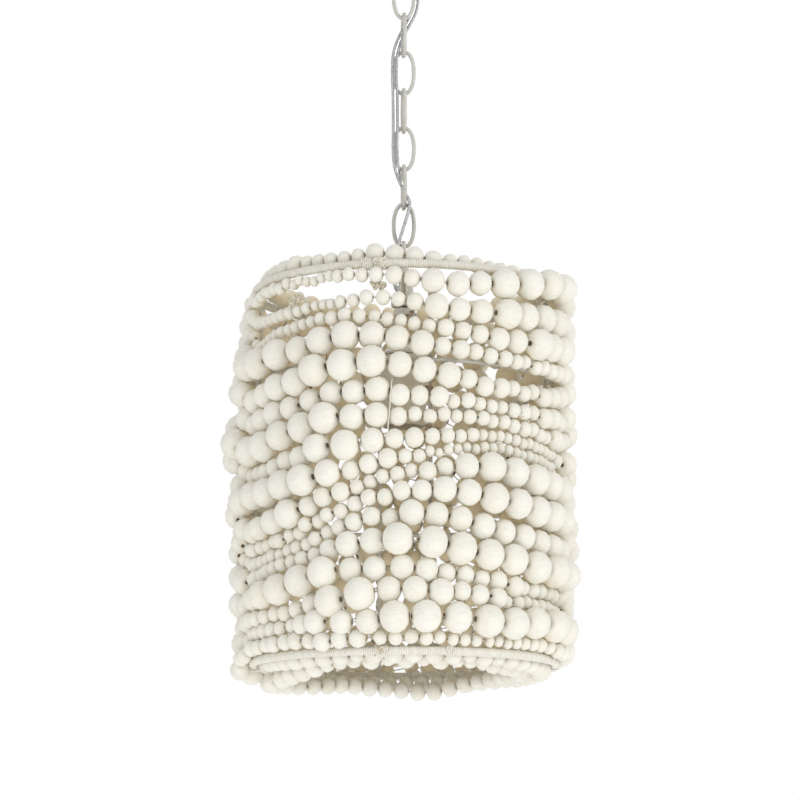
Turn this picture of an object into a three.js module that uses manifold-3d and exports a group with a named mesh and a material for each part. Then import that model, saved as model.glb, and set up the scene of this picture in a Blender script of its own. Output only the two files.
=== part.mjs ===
// Beaded chandelier. A twine-wrapped wire drum carries seventeen rows of wooden
// beads and hangs on a short chain from a ceiling canopy.
// Millimetres, +Z up. The origin is the middle of the ceiling plate's upper face.

import * as THREE from 'three';
import { mergeVertices } from 'three/addons/utils/BufferGeometryUtils.js';
import Module from 'manifold-3d';

const wasm = await Module();
wasm.setup();

// Driving dimensions.

const fitGap = 0.3;            // between pieces that touch
const cutOverrun = 1;          // how far a cutting solid runs past the face it cuts

const plateRadius = 46;
const plateThick = 2.5;
const screwOffset = 35;
const screwHeadRadius = 4.2;
const screwHeadHeight = 2.6;
const screwShankRadius = 2;
const screwShankLength = 2;
const wireHoleRadius = 6;
const wireHoleOffset = 20;

const canopyRadius = 62;
const canopyDepth = 25.4;
const canopyWall = 1.2;
const canopyCornerRadius = 14;

const nippleRadius = 5;
const nippleBore = 3.7;
const nippleWindow = 12;      // height of the side window that lets the cord out
const nippleTail = 6.3;          // length below the canopy
const nutRadius = 8.5;
const nutHeight = 3.5;

const collarRadius = 10.5;
const collarHeight = 9;
const collarFloor = 2.4;
const cordHoleRadius = 3.9;

const wireRadius = 1.7;        // chain wire, hoops and uprights
const linkWidth = 21;          // outside
const linkLength = 41.2;       // outside
const linkCount = 7;
const loopRadius = 8.6;        // canopy loop and shade loop, to the wire's middle
const loopWireRadius = 1.9;

const cordWidth = 6.2;
const cordThick = 3;

const ringRadius = 127;        // to the middle of the ring's wire
const ringBandRadius = 3.15;   // the twine-wrapped wire
const frameHeight = 317;       // between the middles of the two rings
const beadStandoff = 1.5;       // from the ring's wire middle to the beads' inner side
const hoopHeightShares = [0.749, 0.396];
const uprightAngles = [-80, 10, 100, 190];
const barRadius = 2.6;         // cross bar of the top ring
const hubRadius = 11;
const hubHeight = 9;

const loopToHub = 44;          // shade loop's middle to the cross bar
const neckRadius = 4.2;
const finialRadius = 8;
const finialHeight = 9;
const neckDepth = 1.6;          // how far the neck is solid below the finial's top

const stemRadius = 4.9;
const stemBore = 3.9;
const couplingDrop = 6;       // cross bar to the coupling's top
const couplingRadius = 8.7;
const couplingHeight = 6;
const socketCapDrop = 38;      // cross bar to the socket cap's top
const socketCapRadius = 19.8;
const socketCapHeight = 9;
const socketRadius = 18.8;
const socketHeight = 61;
const socketWall = 1.6;
const shellRadius = 13.6;
const shellWall = 0.6;
const shellHeight = 27;
const insulatorHeight = 8;
const contactRadius = 4.5;
const contactHeight = 2;

// Bead sizes, by letter.
const beadSize = { a: 7, b: 8.5, c: 10.5, d: 12.5, e: 16, f: 20.5, g: 25 };

// One row of beads. "right" runs from the bead at the start angle towards +X, "left"
// from its neighbour towards -X, and "back" is repeated until the row closes.
// Angles are in degrees from the front, -Y, and grow towards +X. The height shares are
// of frameHeight, at the angles of stationAngles.
const stationAngles = [-80, -60, -40, -20, 0, 20, 40, 60, 80];
const rows = [
  { start: 3, right: 'efffggggffeee', left: 'edcccaaaaaabbbbbbbddeeef', back: 'gfgefdgf',
    heightShares: [0.934, 0.956, 0.965, 0.968, 0.959, 0.946, 0.956, 0.975, 0.987] },
  { start: 4, right: 'efffggggfeefe', left: 'dddccbaabbcbbbbbbbeefeee', back: 'fgecbdfg',
    heightShares: [0.880, 0.883, 0.893, 0.902, 0.899, 0.874, 0.874, 0.883, 0.905] },
  { start: 3, right: 'cdeeeffgggfeeef', left: 'cccddccbbbbbbbbbbbbdeefe', back: 'gfedcdef',
    heightShares: [0.817, 0.823, 0.852, 0.861, 0.845, 0.823, 0.808, 0.808, 0.830] },
  { start: -1, right: 'ffeeddedcddeeeefee', left: 'fggggggfeeef', back: 'edccfggd',
    heightShares: [0.760, 0.757, 0.782, 0.804, 0.795, 0.773, 0.754, 0.748, 0.767] },
  { start: -1, right: 'fffeeedddeeffeeff', left: 'ggggffffeefe', back: 'geddeffd',
    heightShares: [0.685, 0.672, 0.697, 0.726, 0.729, 0.700, 0.681, 0.681, 0.697] },
  { start: -1, right: 'eeeddcccdddeeffeefe', left: 'ffffffegfeeee', back: 'fdcceegf',
    heightShares: [0.612, 0.618, 0.637, 0.662, 0.653, 0.637, 0.628, 0.621, 0.628] },
  { start: -2, right: 'eddccdcccddddceeefee', left: 'ffgggggffeef', back: 'gffedcef',
    heightShares: [0.550, 0.546, 0.568, 0.596, 0.599, 0.603, 0.590, 0.574, 0.574] },
  { start: -3, right: 'eeddccbbbbbbbbbbbcdfedee', left: 'fggfeeddeeefef', back: 'fdcdeffd',
    heightShares: [0.483, 0.483, 0.495, 0.521, 0.539, 0.549, 0.552, 0.539, 0.517] },
  { start: 1, right: 'dcbbbbbbbbbbbbbbbbbbdeefe', left: 'eeefgggggfeef', back: 'ccdegfec',
    heightShares: [0.420, 0.416, 0.435, 0.464, 0.489, 0.514, 0.524, 0.505, 0.486] },
  { start: 2, right: 'deefgggggeeffe', left: 'dcddeeegffeffeee', back: 'gefdcdef',
    heightShares: [0.322, 0.325, 0.353, 0.413, 0.448, 0.464, 0.461, 0.438, 0.432] },
  { start: -1, right: 'eeffgggggeefef', left: 'ddddddddcdccddedeef', back: 'fgedccde',
    heightShares: [0.278, 0.281, 0.303, 0.350, 0.397, 0.401, 0.382, 0.360, 0.347] },
  { start: 2, right: 'fffffffffffeee', left: 'eeedcccccccccccdeefe', back: 'edcceffd',
    heightShares: [0.249, 0.246, 0.268, 0.319, 0.338, 0.325, 0.297, 0.281, 0.274] },
  { start: -1, right: 'ggggggggfeefe', left: 'ffeddccccccdffeef', back: 'gfecdefg',
    heightShares: [0.202, 0.215, 0.237, 0.262, 0.271, 0.252, 0.233, 0.221, 0.218] },
  { start: -1, right: 'ffeeeeedddddedeef', left: 'ffgggfeeefeee', back: 'dfgdcdef',
    heightShares: [0.145, 0.151, 0.167, 0.196, 0.205, 0.189, 0.170, 0.164, 0.158] },
  { start: 5, right: 'ffeeeddcccddeedee', left: 'fggeedddddedeeef', back: 'dcefedcd',
    heightShares: [0.095, 0.095, 0.107, 0.123, 0.151, 0.151, 0.132, 0.126, 0.120] },
  { start: -2, right: 'ggggggggfeefe', left: 'fffedddddddeefee', back: 'fedcdegf',
    heightShares: [0.066, 0.069, 0.073, 0.073, 0.082, 0.085, 0.076, 0.069, 0.069] },
  { start: 2, right: 'ddccccbbbbbbbbbbdedeeee', left: 'ddeeededdddeefeede', back: 'deddcede',
    heightShares: [0.013, 0.019, 0.027, 0.032, 0.035, 0.028, 0.025, 0.020, 0.014] },
];

// Three more strings hang on the rings themselves: the crown inside the top ring, the
// lining inside the bottom ring, and the fringe further in and lower. How far inside
// their ring they run, and how far above it, are shares of an "e" bead, at loopAngles.
const loopAngles = [-135, -90, -45, 0, 45, 90, 135, 180];
const innerRows = [
  { name: 'beads_crown', start: 4, right: 'eeddddeeeeeeed', left: 'eedddddeeeeeed', back: 'eddeed',
    insetShares: [0.714, 0.714, 0.691, 0.659, 0.659, 0.714, 0.714, 0.714],
    riseShares: [0.337, 0.376, 0.357, 0.277, 0.198, 0.277, 0.317, 0.376] },
  { name: 'beads_lining', start: 4, right: 'eeededeeeeee', left: 'eedeeeeeeeee', back: 'd',
    insetShares: [0.310, 0.564, 0.595, 0.595, 0.595, 0.564, 0.310, 0.127],
    riseShares: [-0.634, -0.555, -0.436, -0.317, -0.436, -0.555, -0.634, -0.654] },
  { name: 'beads_fringe', start: 1, right: 'ededddeeeee', left: 'dedddeeeee', back: 'd',
    insetShares: [1.143, 1.468, 1.587, 1.643, 1.587, 1.500, 1.191, 0.905],
    riseShares: [-0.991, -1.070, -0.753, -0.436, -0.693, -0.951, -0.832, -1.109] },
];

const lumpSides = 6;
const lumpFrom = 15;           // beads of this size and over show one by one
const tubeStep = 40;           // between the sections of a run of smaller beads
const neckShare = 0.4;         // a string's thickness between two such beads
const slimNeckShare = 0.8;     // and between such a bead and a smaller one
const flatShare = Math.cos(Math.PI / lumpSides);
const restGap = 0.45;          // between two rows that rest on each other
const ringSeat = 4.1;          // from a ring's middle to the middle of the row that rests on it
const settleRounds = 400;

// Finishes.

const finish = (color, roughness, metalness) =>
  new THREE.MeshStandardMaterial({ color, roughness, metalness });
const beadWood = finish(0xe9e4d8, 0.75, 0);
const twine = finish(0xd9d2c0, 0.9, 0);
const paint = finish(0xcfccc2, 0.55, 0.1);
const steel = finish(0xb9b9b6, 0.35, 1);
const brass = finish(0xb9975a, 0.35, 1);
const sleeveCard = finish(0xcdc6b4, 0.8, 0);
const porcelain = finish(0xe8e6df, 0.4, 0);
const clearCord = finish(0xc9cbc6, 0.35, 0);

const part = new THREE.Group();

// Helpers.

const radians = THREE.MathUtils.degToRad;
const X = new THREE.Vector3(1, 0, 0);
const Y = new THREE.Vector3(0, 1, 0);
const Z = new THREE.Vector3(0, 0, 1);

function add(name, geometry, material) {
  const mesh = new THREE.Mesh(geometry, material);
  mesh.name = name;
  part.add(mesh);
  return mesh;
}

function toSolid(geometry) {
  const plain = geometry.clone();
  plain.deleteAttribute('normal');
  plain.deleteAttribute('uv');
  const merged = mergeVertices(plain.index ? plain.toNonIndexed() : plain, fitGap / 1000);
  return new wasm.Manifold(new wasm.Mesh({
    numProp: 3,
    vertProperties: new Float32Array(merged.attributes.position.array),
    triVerts: new Uint32Array(merged.index.array),
  }));
}

function toGeometry(solid) {
  const mesh = solid.getMesh();
  const geometry = new THREE.BufferGeometry();
  const position = [];
  for (let i = 0; i < mesh.vertProperties.length; i += mesh.numProp) {
    position.push(...mesh.vertProperties.slice(i, i + 3));
  }
  geometry.setAttribute('position', new THREE.Float32BufferAttribute(position, 3));
  geometry.setIndex(Array.from(mesh.triVerts));
  return geometry;
}

const join = (...pieces) =>
  toGeometry(pieces.map(toSolid).reduce((whole, piece) => whole.add(piece)));

const cut = (body, ...tools) =>
  toGeometry(tools.reduce((whole, tool) => whole.subtract(toSolid(tool)), toSolid(body)));

// A solid of revolution about Z from [radius, height] pairs that run up its outside.
function turned(pairs, sides) {
  const profile = pairs.map(([radius, height]) => new THREE.Vector2(radius, height));
  return new THREE.LatheGeometry(profile, sides).rotateX(Math.PI / 2);
}

function rod(radius, bottom, top, sides) {
  return turned([[0, bottom], [radius, bottom], [radius, top], [0, top]], sides);
}

function pipe(bore, radius, bottom, top, sides) {
  return turned([[bore, bottom], [radius, bottom], [radius, top], [bore, top], [bore, bottom]],
    sides);
}

// A closed ring of wire about Z.
function hoop(radius, thick, sides, steps) {
  return new THREE.TorusGeometry(radius, thick, sides, steps);
}

// A straight wire between two points.
function wireBetween(from, to, thick, sides) {
  const span = new THREE.Vector3().subVectors(to, from);
  const wire = new THREE.CylinderGeometry(thick, thick, span.length(), sides);
  const turn = new THREE.Quaternion().setFromUnitVectors(Y, span.clone().normalize());
  const middle = new THREE.Vector3().addVectors(from, to).multiplyScalar(1 / 2);
  return wire.applyQuaternion(turn).translate(middle.x, middle.y, middle.z);
}

// A closed skin over rings of points that all run the same way round. When the rings
// close on themselves there are no ends, otherwise both ends are capped.
function skin(rings, closed) {
  const sides = rings[0].length;
  const position = [];
  const index = [];
  for (const ring of rings) {
    for (const point of ring) {
      position.push(point.x, point.y, point.z);
    }
  }
  const last = closed ? rings.length : rings.length - 1;
  for (let i = 0; i < last; i += 1) {
    const here = i * sides;
    const next = ((i + 1) % rings.length) * sides;
    for (let k = 0; k < sides; k += 1) {
      const other = (k + 1) % sides;
      index.push(here + k, here + other, next + other);
      index.push(here + k, next + other, next + k);
    }
  }
  if (!closed) {
    const end = (rings.length - 1) * sides;
    for (let k = 1; k < sides - 1; k += 1) {
      index.push(0, k + 1, k);
      index.push(end, end + k, end + k + 1);
    }
  }
  const geometry = new THREE.BufferGeometry();
  geometry.setAttribute('position', new THREE.Float32BufferAttribute(position, 3));
  geometry.setIndex(index);
  return geometry;
}

// Heights of the main pieces, from the ceiling down.

const plateUnder = -plateThick;
const canopyUnder = -canopyDepth;
const collarTop = canopyUnder - fitGap;
const collarUnder = collarTop - collarHeight;
const canopyLoopMiddle = collarUnder - loopRadius + loopWireRadius;
const linkReach = linkLength / 2 - wireRadius;       // link's middle to its end wire's middle
const wireSeat = 2 * wireRadius + fitGap;            // between two crossing wires' middles
const loopSeat = wireRadius + loopWireRadius + fitGap;
const linkPitch = 2 * linkReach - wireSeat;
const firstLink = canopyLoopMiddle - loopRadius + loopSeat - linkReach;
const lastLink = firstLink - (linkCount - 1) * linkPitch;
const shadeLoopMiddle = lastLink - linkReach + loopSeat - loopRadius;
const barZ = shadeLoopMiddle - loopToHub;
const topRingZ = barZ + barRadius + fitGap + ringBandRadius;
const bottomRingZ = topRingZ - frameHeight;

// Ceiling plate, screws, nipple, lock nut and canopy.

function ceilingPlate() {
  const plate = rod(plateRadius, plateUnder, 0, 32);
  const hole = (x, y, radius) =>
    rod(radius, plateUnder - cutOverrun, cutOverrun, 16).translate(x, y, 0);
  const shankHole = screwShankRadius + fitGap;
  return cut(plate, hole(screwOffset, 0, shankHole), hole(-screwOffset, 0, shankHole),
    hole(0, wireHoleOffset, wireHoleRadius));
}

function plateScrew() {
  const headTop = plateUnder - fitGap;
  return turned([
    [0, headTop - screwHeadHeight],
    [screwHeadRadius, headTop - screwHeadHeight / 2],
    [screwHeadRadius, headTop],
    [screwShankRadius, headTop],
    [screwShankRadius, headTop + screwShankLength],
    [0, headTop + screwShankLength],
  ], 14);
}

const nippleTop = plateUnder - fitGap;
const nippleUnder = canopyUnder - nippleTail;

function nipple() {
  const tube = rod(nippleRadius, nippleUnder, nippleTop, 16);
  const bore = rod(nippleBore, nippleUnder - cutOverrun, nippleTop - collarFloor, 16);
  const windowTop = nippleTop - collarFloor;
  const window = new THREE.BoxGeometry(nippleBore * 2, nippleRadius + cutOverrun, nippleWindow)
    .translate(0, (nippleRadius + cutOverrun) / 2, windowTop - nippleWindow / 2);
  return cut(tube, bore, window);
}

function canopy() {
  const holeRadius = nippleRadius + fitGap;
  const outer = [];
  const inner = [];
  const arcSteps = 4;
  for (let i = 0; i <= arcSteps; i += 1) {
    const turn = (i / arcSteps) * (Math.PI / 2);
    const out = canopyCornerRadius;
    const into = canopyCornerRadius - canopyWall;
    const middle = canopyRadius - canopyCornerRadius;
    outer.push([middle + out * Math.sin(turn), canopyUnder + out - out * Math.cos(turn)]);
    inner.unshift([middle + into * Math.sin(turn), canopyUnder + out - into * Math.cos(turn)]);
  }
  const rim = -fitGap;
  return turned([
    [holeRadius, canopyUnder],
    ...outer,
    [canopyRadius, rim],
    [canopyRadius - canopyWall, rim],
    ...inner,
    [holeRadius, canopyUnder + canopyWall],
    [holeRadius, canopyUnder],
  ], 32);
}

const nutUnder = canopyUnder + canopyWall + fitGap;

function hexNut(bore, radius, bottom, top) {
  return cut(rod(radius, bottom, top, 6),
    rod(bore, bottom - cutOverrun, top + cutOverrun, 16));
}

add('ceiling_plate', ceilingPlate(), steel);
add('plate_screw_left', plateScrew().translate(-screwOffset, 0, 0), steel);
add('plate_screw_right', plateScrew().translate(screwOffset, 0, 0), steel);
add('canopy_nipple', nipple(), brass);
add('canopy', canopy(), paint);
add('lock_nut', hexNut(nippleRadius + fitGap, nutRadius, nutUnder, nutUnder + nutHeight), steel);

// The screw collar holds the canopy up and carries the loop. The cord leaves through its
// floor, between the loop's two feet.

function canopyLoop() {
  const collar = rod(collarRadius, collarUnder, collarTop, 20);
  const ring = hoop(loopRadius, loopWireRadius, 8, 20)
    .rotateY(Math.PI / 2).translate(0, 0, canopyLoopMiddle);
  const keep = nippleUnder - fitGap;
  const threadHole = rod(nippleRadius + fitGap, keep, collarTop + cutOverrun, 16);
  const cordHole = rod(cordHoleRadius, collarUnder - loopWireRadius * 2,
    collarTop + cutOverrun, 12);
  return cut(join(collar, ring), threadHole, cordHole);
}

add('canopy_loop', canopyLoop(), paint);

// Chain links, alternately in the XZ and the YZ plane.

function chainLink() {
  const bend = linkWidth / 2 - wireRadius;
  const straight = linkReach - bend;
  const sides = 6;
  const bendSteps = 8;
  const rings = [];
  const ringAt = (centre, outward) => {
    const ring = [];
    for (let k = 0; k < sides; k += 1) {
      const turn = (k / sides) * 2 * Math.PI;
      ring.push(centre.clone()
        .addScaledVector(outward, wireRadius * Math.cos(turn))
        .addScaledVector(Y, wireRadius * Math.sin(turn)));
    }
    rings.push(ring);
  };
  for (const end of [1, -1]) {
    for (let i = 0; i <= bendSteps; i += 1) {
      const turn = (i / bendSteps) * Math.PI;
      const outward = new THREE.Vector3(end * Math.cos(turn), 0, end * Math.sin(turn));
      const centre = outward.clone().multiplyScalar(bend).addScaledVector(Z, end * straight);
      ringAt(centre, outward);
    }
  }
  return skin(rings, true);
}

for (let i = 0; i < linkCount; i += 1) {
  const link = chainLink();
  if (i % 2 === 1) {
    link.rotateZ(Math.PI / 2);
  }
  link.translate(0, 0, firstLink - i * linkPitch);
  add(`chain_link_${i + 1}`, link, paint);
}

// The flat cord is woven down through the chain. Each point is where its middle passes,
// with the angle from +X towards +Y that its wide side faces. It enters through the
// ceiling plate and ends in the socket cap.
const cordRoute = [
  [0, 20, -0.5, 0],
  [0, 19.4, -5, 0],
  [0, 15.5, -8.4, 0],
  [0, 8, -8.9, 0],
  [0, 2.4, -10.5, 0],
  [0, 0, -16, 0],
  [0, 0, -26, 0],
  [0.1, 0.2, -35, 0],
  [2, 3, -41, 0],
  [5.6, 4.5, -47, 0],
  [9.4, 5, -55, 0],
  [10.6, 4.6, -66.7, 0],
  [9, 4.3, -76, 0],
  [5.4, 3.8, -84.5, 0],
  [0, 0.4, -95.8, 0],
  [-5.1, -3, -108.5, 0],
  [-7.6, -4.2, -119.4, 0],
  [-8.1, -4.2, -134.7, 0],
  [-7.6, -4.1, -152.7, 0],
  [-7.3, -4.1, -184.1, 0],
  [-7.5, -4.3, -202, 4],
  [-6.8, -5.2, -215.5, 16],
  [-5.8, -4.6, -221.5, 34],
  [-3.6, -2.4, -229.5, 64],
  [-0.8, -2.2, -237.5, 84],
  [2.2, -3.4, -243.8, 90],
  [4.5, -4.9, -248.4, 90],
  [5, -5.6, -253, 90],
  [1.1, -5.8, -268.7, 90],
  [-3.6, -5.8, -284, 90],
  [-5.4, -5, -292, 90],
  [-7.4, -2.8, -302, 90],
  [-8.6, -0.8, -310.5, 90],
  [-8.6, 0, -317.5, 90],
  [-7.6, 0, -322.2, 90],
  [-6.4, 0, -325.6, 90],
  [-3.3, 0, -329.1, 90],
  [-0.7, 0, -331.4, 90],
  [0, 0, -334.6, 90],
  [0, 0, -383.5, 90],
];
const cordStep = 5.2;
const cordSamples = 1600;

const cordCurve = new THREE.CatmullRomCurve3(
  cordRoute.map(([x, y, z]) => new THREE.Vector3(x, y, z)), false, 'centripetal');
const cordFacing = (t) => {
  const place = t * (cordRoute.length - 1);
  const i = Math.min(Math.floor(place), cordRoute.length - 2);
  const angle = cordRoute[i][3] + (cordRoute[i + 1][3] - cordRoute[i][3]) * (place - i);
  return new THREE.Vector3(Math.cos(radians(angle)), Math.sin(radians(angle)), 0);
};

// The section is a flat oval, and its eight points lie on the two round edges.
function cordSection(t) {
  const middle = cordCurve.getPoint(t);
  const along = cordCurve.getTangent(t);
  const facing = cordFacing(t);
  const wide = facing.addScaledVector(along, -facing.dot(along)).normalize();
  const thin = new THREE.Vector3().crossVectors(along, wide);
  const ring = [];
  for (let k = 0; k < 8; k += 1) {
    const turn = ((k + 1 / 2) / 8) * 2 * Math.PI;
    const edge = (cordWidth - cordThick) / 2 * Math.sign(Math.cos(turn));
    const reach = cordThick / 2 / Math.cos(Math.PI / 8);
    ring.push(middle.clone()
      .addScaledVector(wide, edge + reach * Math.cos(turn))
      .addScaledVector(thin, reach * Math.sin(turn)));
  }
  return ring;
}

// It is cut at the middle of every link, so that each stretch spans one joint.
function cordStretches() {
  const lengths = [0];
  let before = cordCurve.getPoint(0);
  for (let i = 1; i <= cordSamples; i += 1) {
    const here = cordCurve.getPoint(i / cordSamples);
    lengths.push(lengths[i - 1] + here.distanceTo(before));
    before = here;
  }
  const total = lengths[cordSamples];
  const atLength = (length) => {
    let i = 1;
    while (i < cordSamples && lengths[i] < length) {
      i += 1;
    }
    return (i - 1 + (length - lengths[i - 1]) / (lengths[i] - lengths[i - 1])) / cordSamples;
  };
  const cuts = [0];
  for (let k = 0; k < linkCount; k += 1) {
    const level = firstLink - k * linkPitch;
    let i = 0;
    while (cordCurve.getPoint(i / cordSamples).z > level) {
      i += 1;
    }
    cuts.push(lengths[i]);
  }
  cuts.push(total);
  for (let k = 0; k + 1 < cuts.length; k += 1) {
    const from = cuts[k] + (k > 0 ? fitGap / 2 : 0);
    const to = cuts[k + 1] - (k + 2 < cuts.length ? fitGap / 2 : 0);
    const steps = Math.ceil((to - from) / cordStep);
    const rings = [];
    for (let i = 0; i <= steps; i += 1) {
      rings.push(cordSection(atLength(from + (to - from) * (i / steps))));
    }
    add(`cord_${k + 1}`, skin(rings, false), clearCord);
  }
  return total;
}

cordStretches();

// The shade's loop stands on the hub of the cross bar. Its neck is threaded into the stem.

function shadeLoop() {
  const ring = hoop(loopRadius, loopWireRadius, 8, 20)
    .rotateY(Math.PI / 2).translate(0, 0, shadeLoopMiddle);
  const neckTop = shadeLoopMiddle - loopRadius + loopWireRadius / 2;
  const finialUnder = barZ + hubHeight / 2 + fitGap;
  const finialTop = finialUnder + finialHeight;
  const neckUnder = finialTop - neckDepth;
  const neck = rod(neckRadius, neckUnder, neckTop, 12);
  const finial = rod(finialRadius, finialUnder, finialTop, 6);
  const bore = rod(stemBore, finialUnder - cutOverrun, neckUnder, 12);
  const slot = new THREE.BoxGeometry(finialRadius + cutOverrun, stemBore * 2,
    finialHeight - neckDepth + cutOverrun)
    .translate(-(finialRadius + cutOverrun) / 2, 0,
      (finialUnder - cutOverrun + neckUnder) / 2);
  const slotMouth = new THREE.BoxGeometry(finialRadius, stemBore * 2, neckDepth * 2 + cutOverrun)
    .translate(-neckRadius - finialRadius / 2, 0, finialTop - neckDepth + cutOverrun / 2);
  return cut(join(ring, neck, finial), bore, slot, slotMouth);
}

add('shade_loop', shadeLoop(), paint);

// Drum frame: wrapped rings, hoops, uprights and the cross bar with its hub.

add('top_ring', hoop(ringRadius, ringBandRadius, 8, 40).translate(0, 0, topRingZ), twine);
add('bottom_ring', hoop(ringRadius, ringBandRadius, 8, 40).translate(0, 0, bottomRingZ), twine);

const front = (angle, radius, height) => new THREE.Vector3(
  radius * Math.sin(radians(angle)), -radius * Math.cos(radians(angle)), height);

const hoopZ = hoopHeightShares.map((share) => bottomRingZ + share * frameHeight);
const uprightRadius = ringRadius - wireSeat;

add('hoop_upper', hoop(ringRadius, wireRadius, 6, 40).translate(0, 0, hoopZ[0]), paint);
add('hoop_lower', hoop(ringRadius, wireRadius, 6, 40).translate(0, 0, hoopZ[1]), paint);

// An upright's end meets a ring's inner side, so it stops short of the ring's middle.
const uprightInset = ringRadius - uprightRadius - wireRadius;
const uprightShort = Math.sqrt((ringBandRadius + fitGap) ** 2 - uprightInset ** 2);
const uprightUnder = bottomRingZ + uprightShort;
const uprightOver = topRingZ - uprightShort;
uprightAngles.forEach((angle, i) => {
  add(`upright_${i + 1}`, wireBetween(front(angle, uprightRadius, uprightUnder),
    front(angle, uprightRadius, uprightOver), wireRadius, 6), paint);
});

const hubTop = barZ + hubHeight / 2;
const hubUnder = barZ - hubHeight / 2;

function crossBar() {
  const reach = ringRadius;
  const bar = wireBetween(new THREE.Vector3(0, -reach, barZ), new THREE.Vector3(0, reach, barZ),
    barRadius, 8);
  const hub = rod(hubRadius, hubUnder, hubTop, 18);
  const hole = rod(stemRadius + fitGap, hubUnder - cutOverrun, hubTop + cutOverrun, 16);
  return cut(join(bar, hub), hole);
}

add('cross_bar', crossBar(), paint);

// Stem, coupling and socket.

const stemTop = hubTop;
const capTop = barZ - socketCapDrop;
const stemUnder = capTop - socketCapHeight / 2;

add('stem', pipe(stemBore, stemRadius, stemUnder, stemTop, 16), brass);

const couplingTop = barZ - couplingDrop;
add('coupling_nut', hexNut(stemRadius + fitGap, couplingRadius, couplingTop - couplingHeight,
  couplingTop), steel);

function socketCap() {
  const under = capTop - socketCapHeight;
  const body = turned([
    [0, under],
    [socketCapRadius, under],
    [socketCapRadius, under + socketWall],
    [stemRadius + socketWall * 2, capTop],
    [0, capTop],
  ], 24);
  const hole = rod(stemRadius + fitGap, under - cutOverrun, capTop + cutOverrun, 16);
  const hollow = turned([
    [0, under - cutOverrun],
    [socketCapRadius - socketWall, under - cutOverrun],
    [socketCapRadius - socketWall, under + fitGap],
    [stemRadius + socketWall, capTop - socketWall],
    [0, capTop - socketWall],
  ], 24);
  return cut(body, hole, hollow);
}

add('socket_cap', socketCap(), paint);

const sleeveTop = capTop - socketCapHeight - fitGap;
const sleeveUnder = sleeveTop - socketHeight;

// The sleeve has an inner shoulder that the insulator hangs from.
function socketSleeve() {
  return turned([
    [socketRadius, sleeveUnder],
    [socketRadius, sleeveTop],
    [shellRadius - shellWall * 2, sleeveTop],
    [shellRadius - shellWall * 2, sleeveTop - socketWall],
    [socketRadius - socketWall, sleeveTop - socketWall],
    [socketRadius - socketWall, sleeveUnder],
    [socketRadius, sleeveUnder],
  ], 28);
}

add('socket_sleeve', socketSleeve(), sleeveCard);

const insulatorTop = sleeveTop - socketWall - fitGap;
const insulatorUnder = insulatorTop - insulatorHeight;
add('socket_insulator', rod(socketRadius - socketWall - fitGap, insulatorUnder, insulatorTop, 24),
  porcelain);
add('socket_shell', pipe(shellRadius - shellWall, shellRadius, insulatorUnder - fitGap - shellHeight,
  insulatorUnder - fitGap, 24), brass);
add('socket_contact', rod(contactRadius, insulatorUnder - fitGap - contactHeight,
  insulatorUnder - fitGap, 12), brass);

// Bead rows.

// Beads of a row with their angle and size. The front follows its two strings of
// letters, and the back is filled with the repeated pattern, spread evenly.
function layOut(row, middleRadius) {
  const step = (one, other) => THREE.MathUtils.radToDeg(
    (one + other) / 2 / middleRadius((one + other) / 2));
  const beads = [{ angle: row.start, size: beadSize[row.right[0]] }];
  for (const letter of row.right.slice(1)) {
    const before = beads[beads.length - 1];
    const size = beadSize[letter];
    beads.push({ angle: before.angle + step(before.size, size), size });
  }
  const leftBeads = [beads[0]];
  for (const letter of row.left) {
    const before = leftBeads[leftBeads.length - 1];
    const size = beadSize[letter];
    leftBeads.push({ angle: before.angle - step(before.size, size), size });
  }
  beads.unshift(...leftBeads.slice(1).reverse());
  const last = beads[beads.length - 1];
  const room = beads[0].angle + 360 - last.angle;
  const fill = [last];
  for (let i = 0; ; i += 1) {
    const before = fill[fill.length - 1];
    const size = beadSize[row.back[i % row.back.length]];
    const angle = before.angle + step(before.size, size);
    if (angle + step(size, beads[0].size) > last.angle + room) {
      break;
    }
    fill.push({ angle, size });
  }
  const lastFill = fill[fill.length - 1];
  const natural = lastFill.angle + step(lastFill.size, beads[0].size) - last.angle;
  for (const bead of fill.slice(1)) {
    beads.push({ angle: last.angle + (bead.angle - last.angle) * (room / natural),
      size: bead.size });
  }
  return beads;
}

const wrap = (angle) => ((angle % 360) + 360) % 360;

// A smooth value round the circle through values given at rising angles.
function roundCurve(angles, values) {
  const count = angles.length;
  const at = (i) => ({
    angle: angles[((i % count) + count) % count] + 360 * Math.floor(i / count),
    value: values[((i % count) + count) % count],
  });
  const slope = (i) =>
    (at(i + 1).value - at(i - 1).value) / (at(i + 1).angle - at(i - 1).angle);
  return (angle) => {
    const turned360 = wrap(angle - angles[0]) + angles[0];
    let i = 0;
    while (i < count - 1 && at(i + 1).angle <= turned360) {
      i += 1;
    }
    const from = at(i);
    const to = at(i + 1);
    const span = to.angle - from.angle;
    const t = (turned360 - from.angle) / span;
    const a = from.value;
    const b = to.value;
    const sa = slope(i) * span;
    const sb = slope(i + 1) * span;
    return (2 * a - 2 * b + sa + sb) * t ** 3 + (3 * b - 3 * a - 2 * sa - sb) * t ** 2 + sa * t + a;
  };
}

// Round the back a row climbs or falls evenly from its last front height to its first.
const backAngles = [120, 160, 200, 240];

function rowHeight(row) {
  const shares = row.heightShares;
  const first = shares[0];
  const last = shares[shares.length - 1];
  const lastAngle = stationAngles[stationAngles.length - 1];
  const sweep = stationAngles[0] + 360 - lastAngle;
  const back = backAngles.map((angle) => last + (first - last) * ((angle - lastAngle) / sweep));
  return roundCurve([...stationAngles, ...backAngles], [...shares, ...back]);
}

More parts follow.
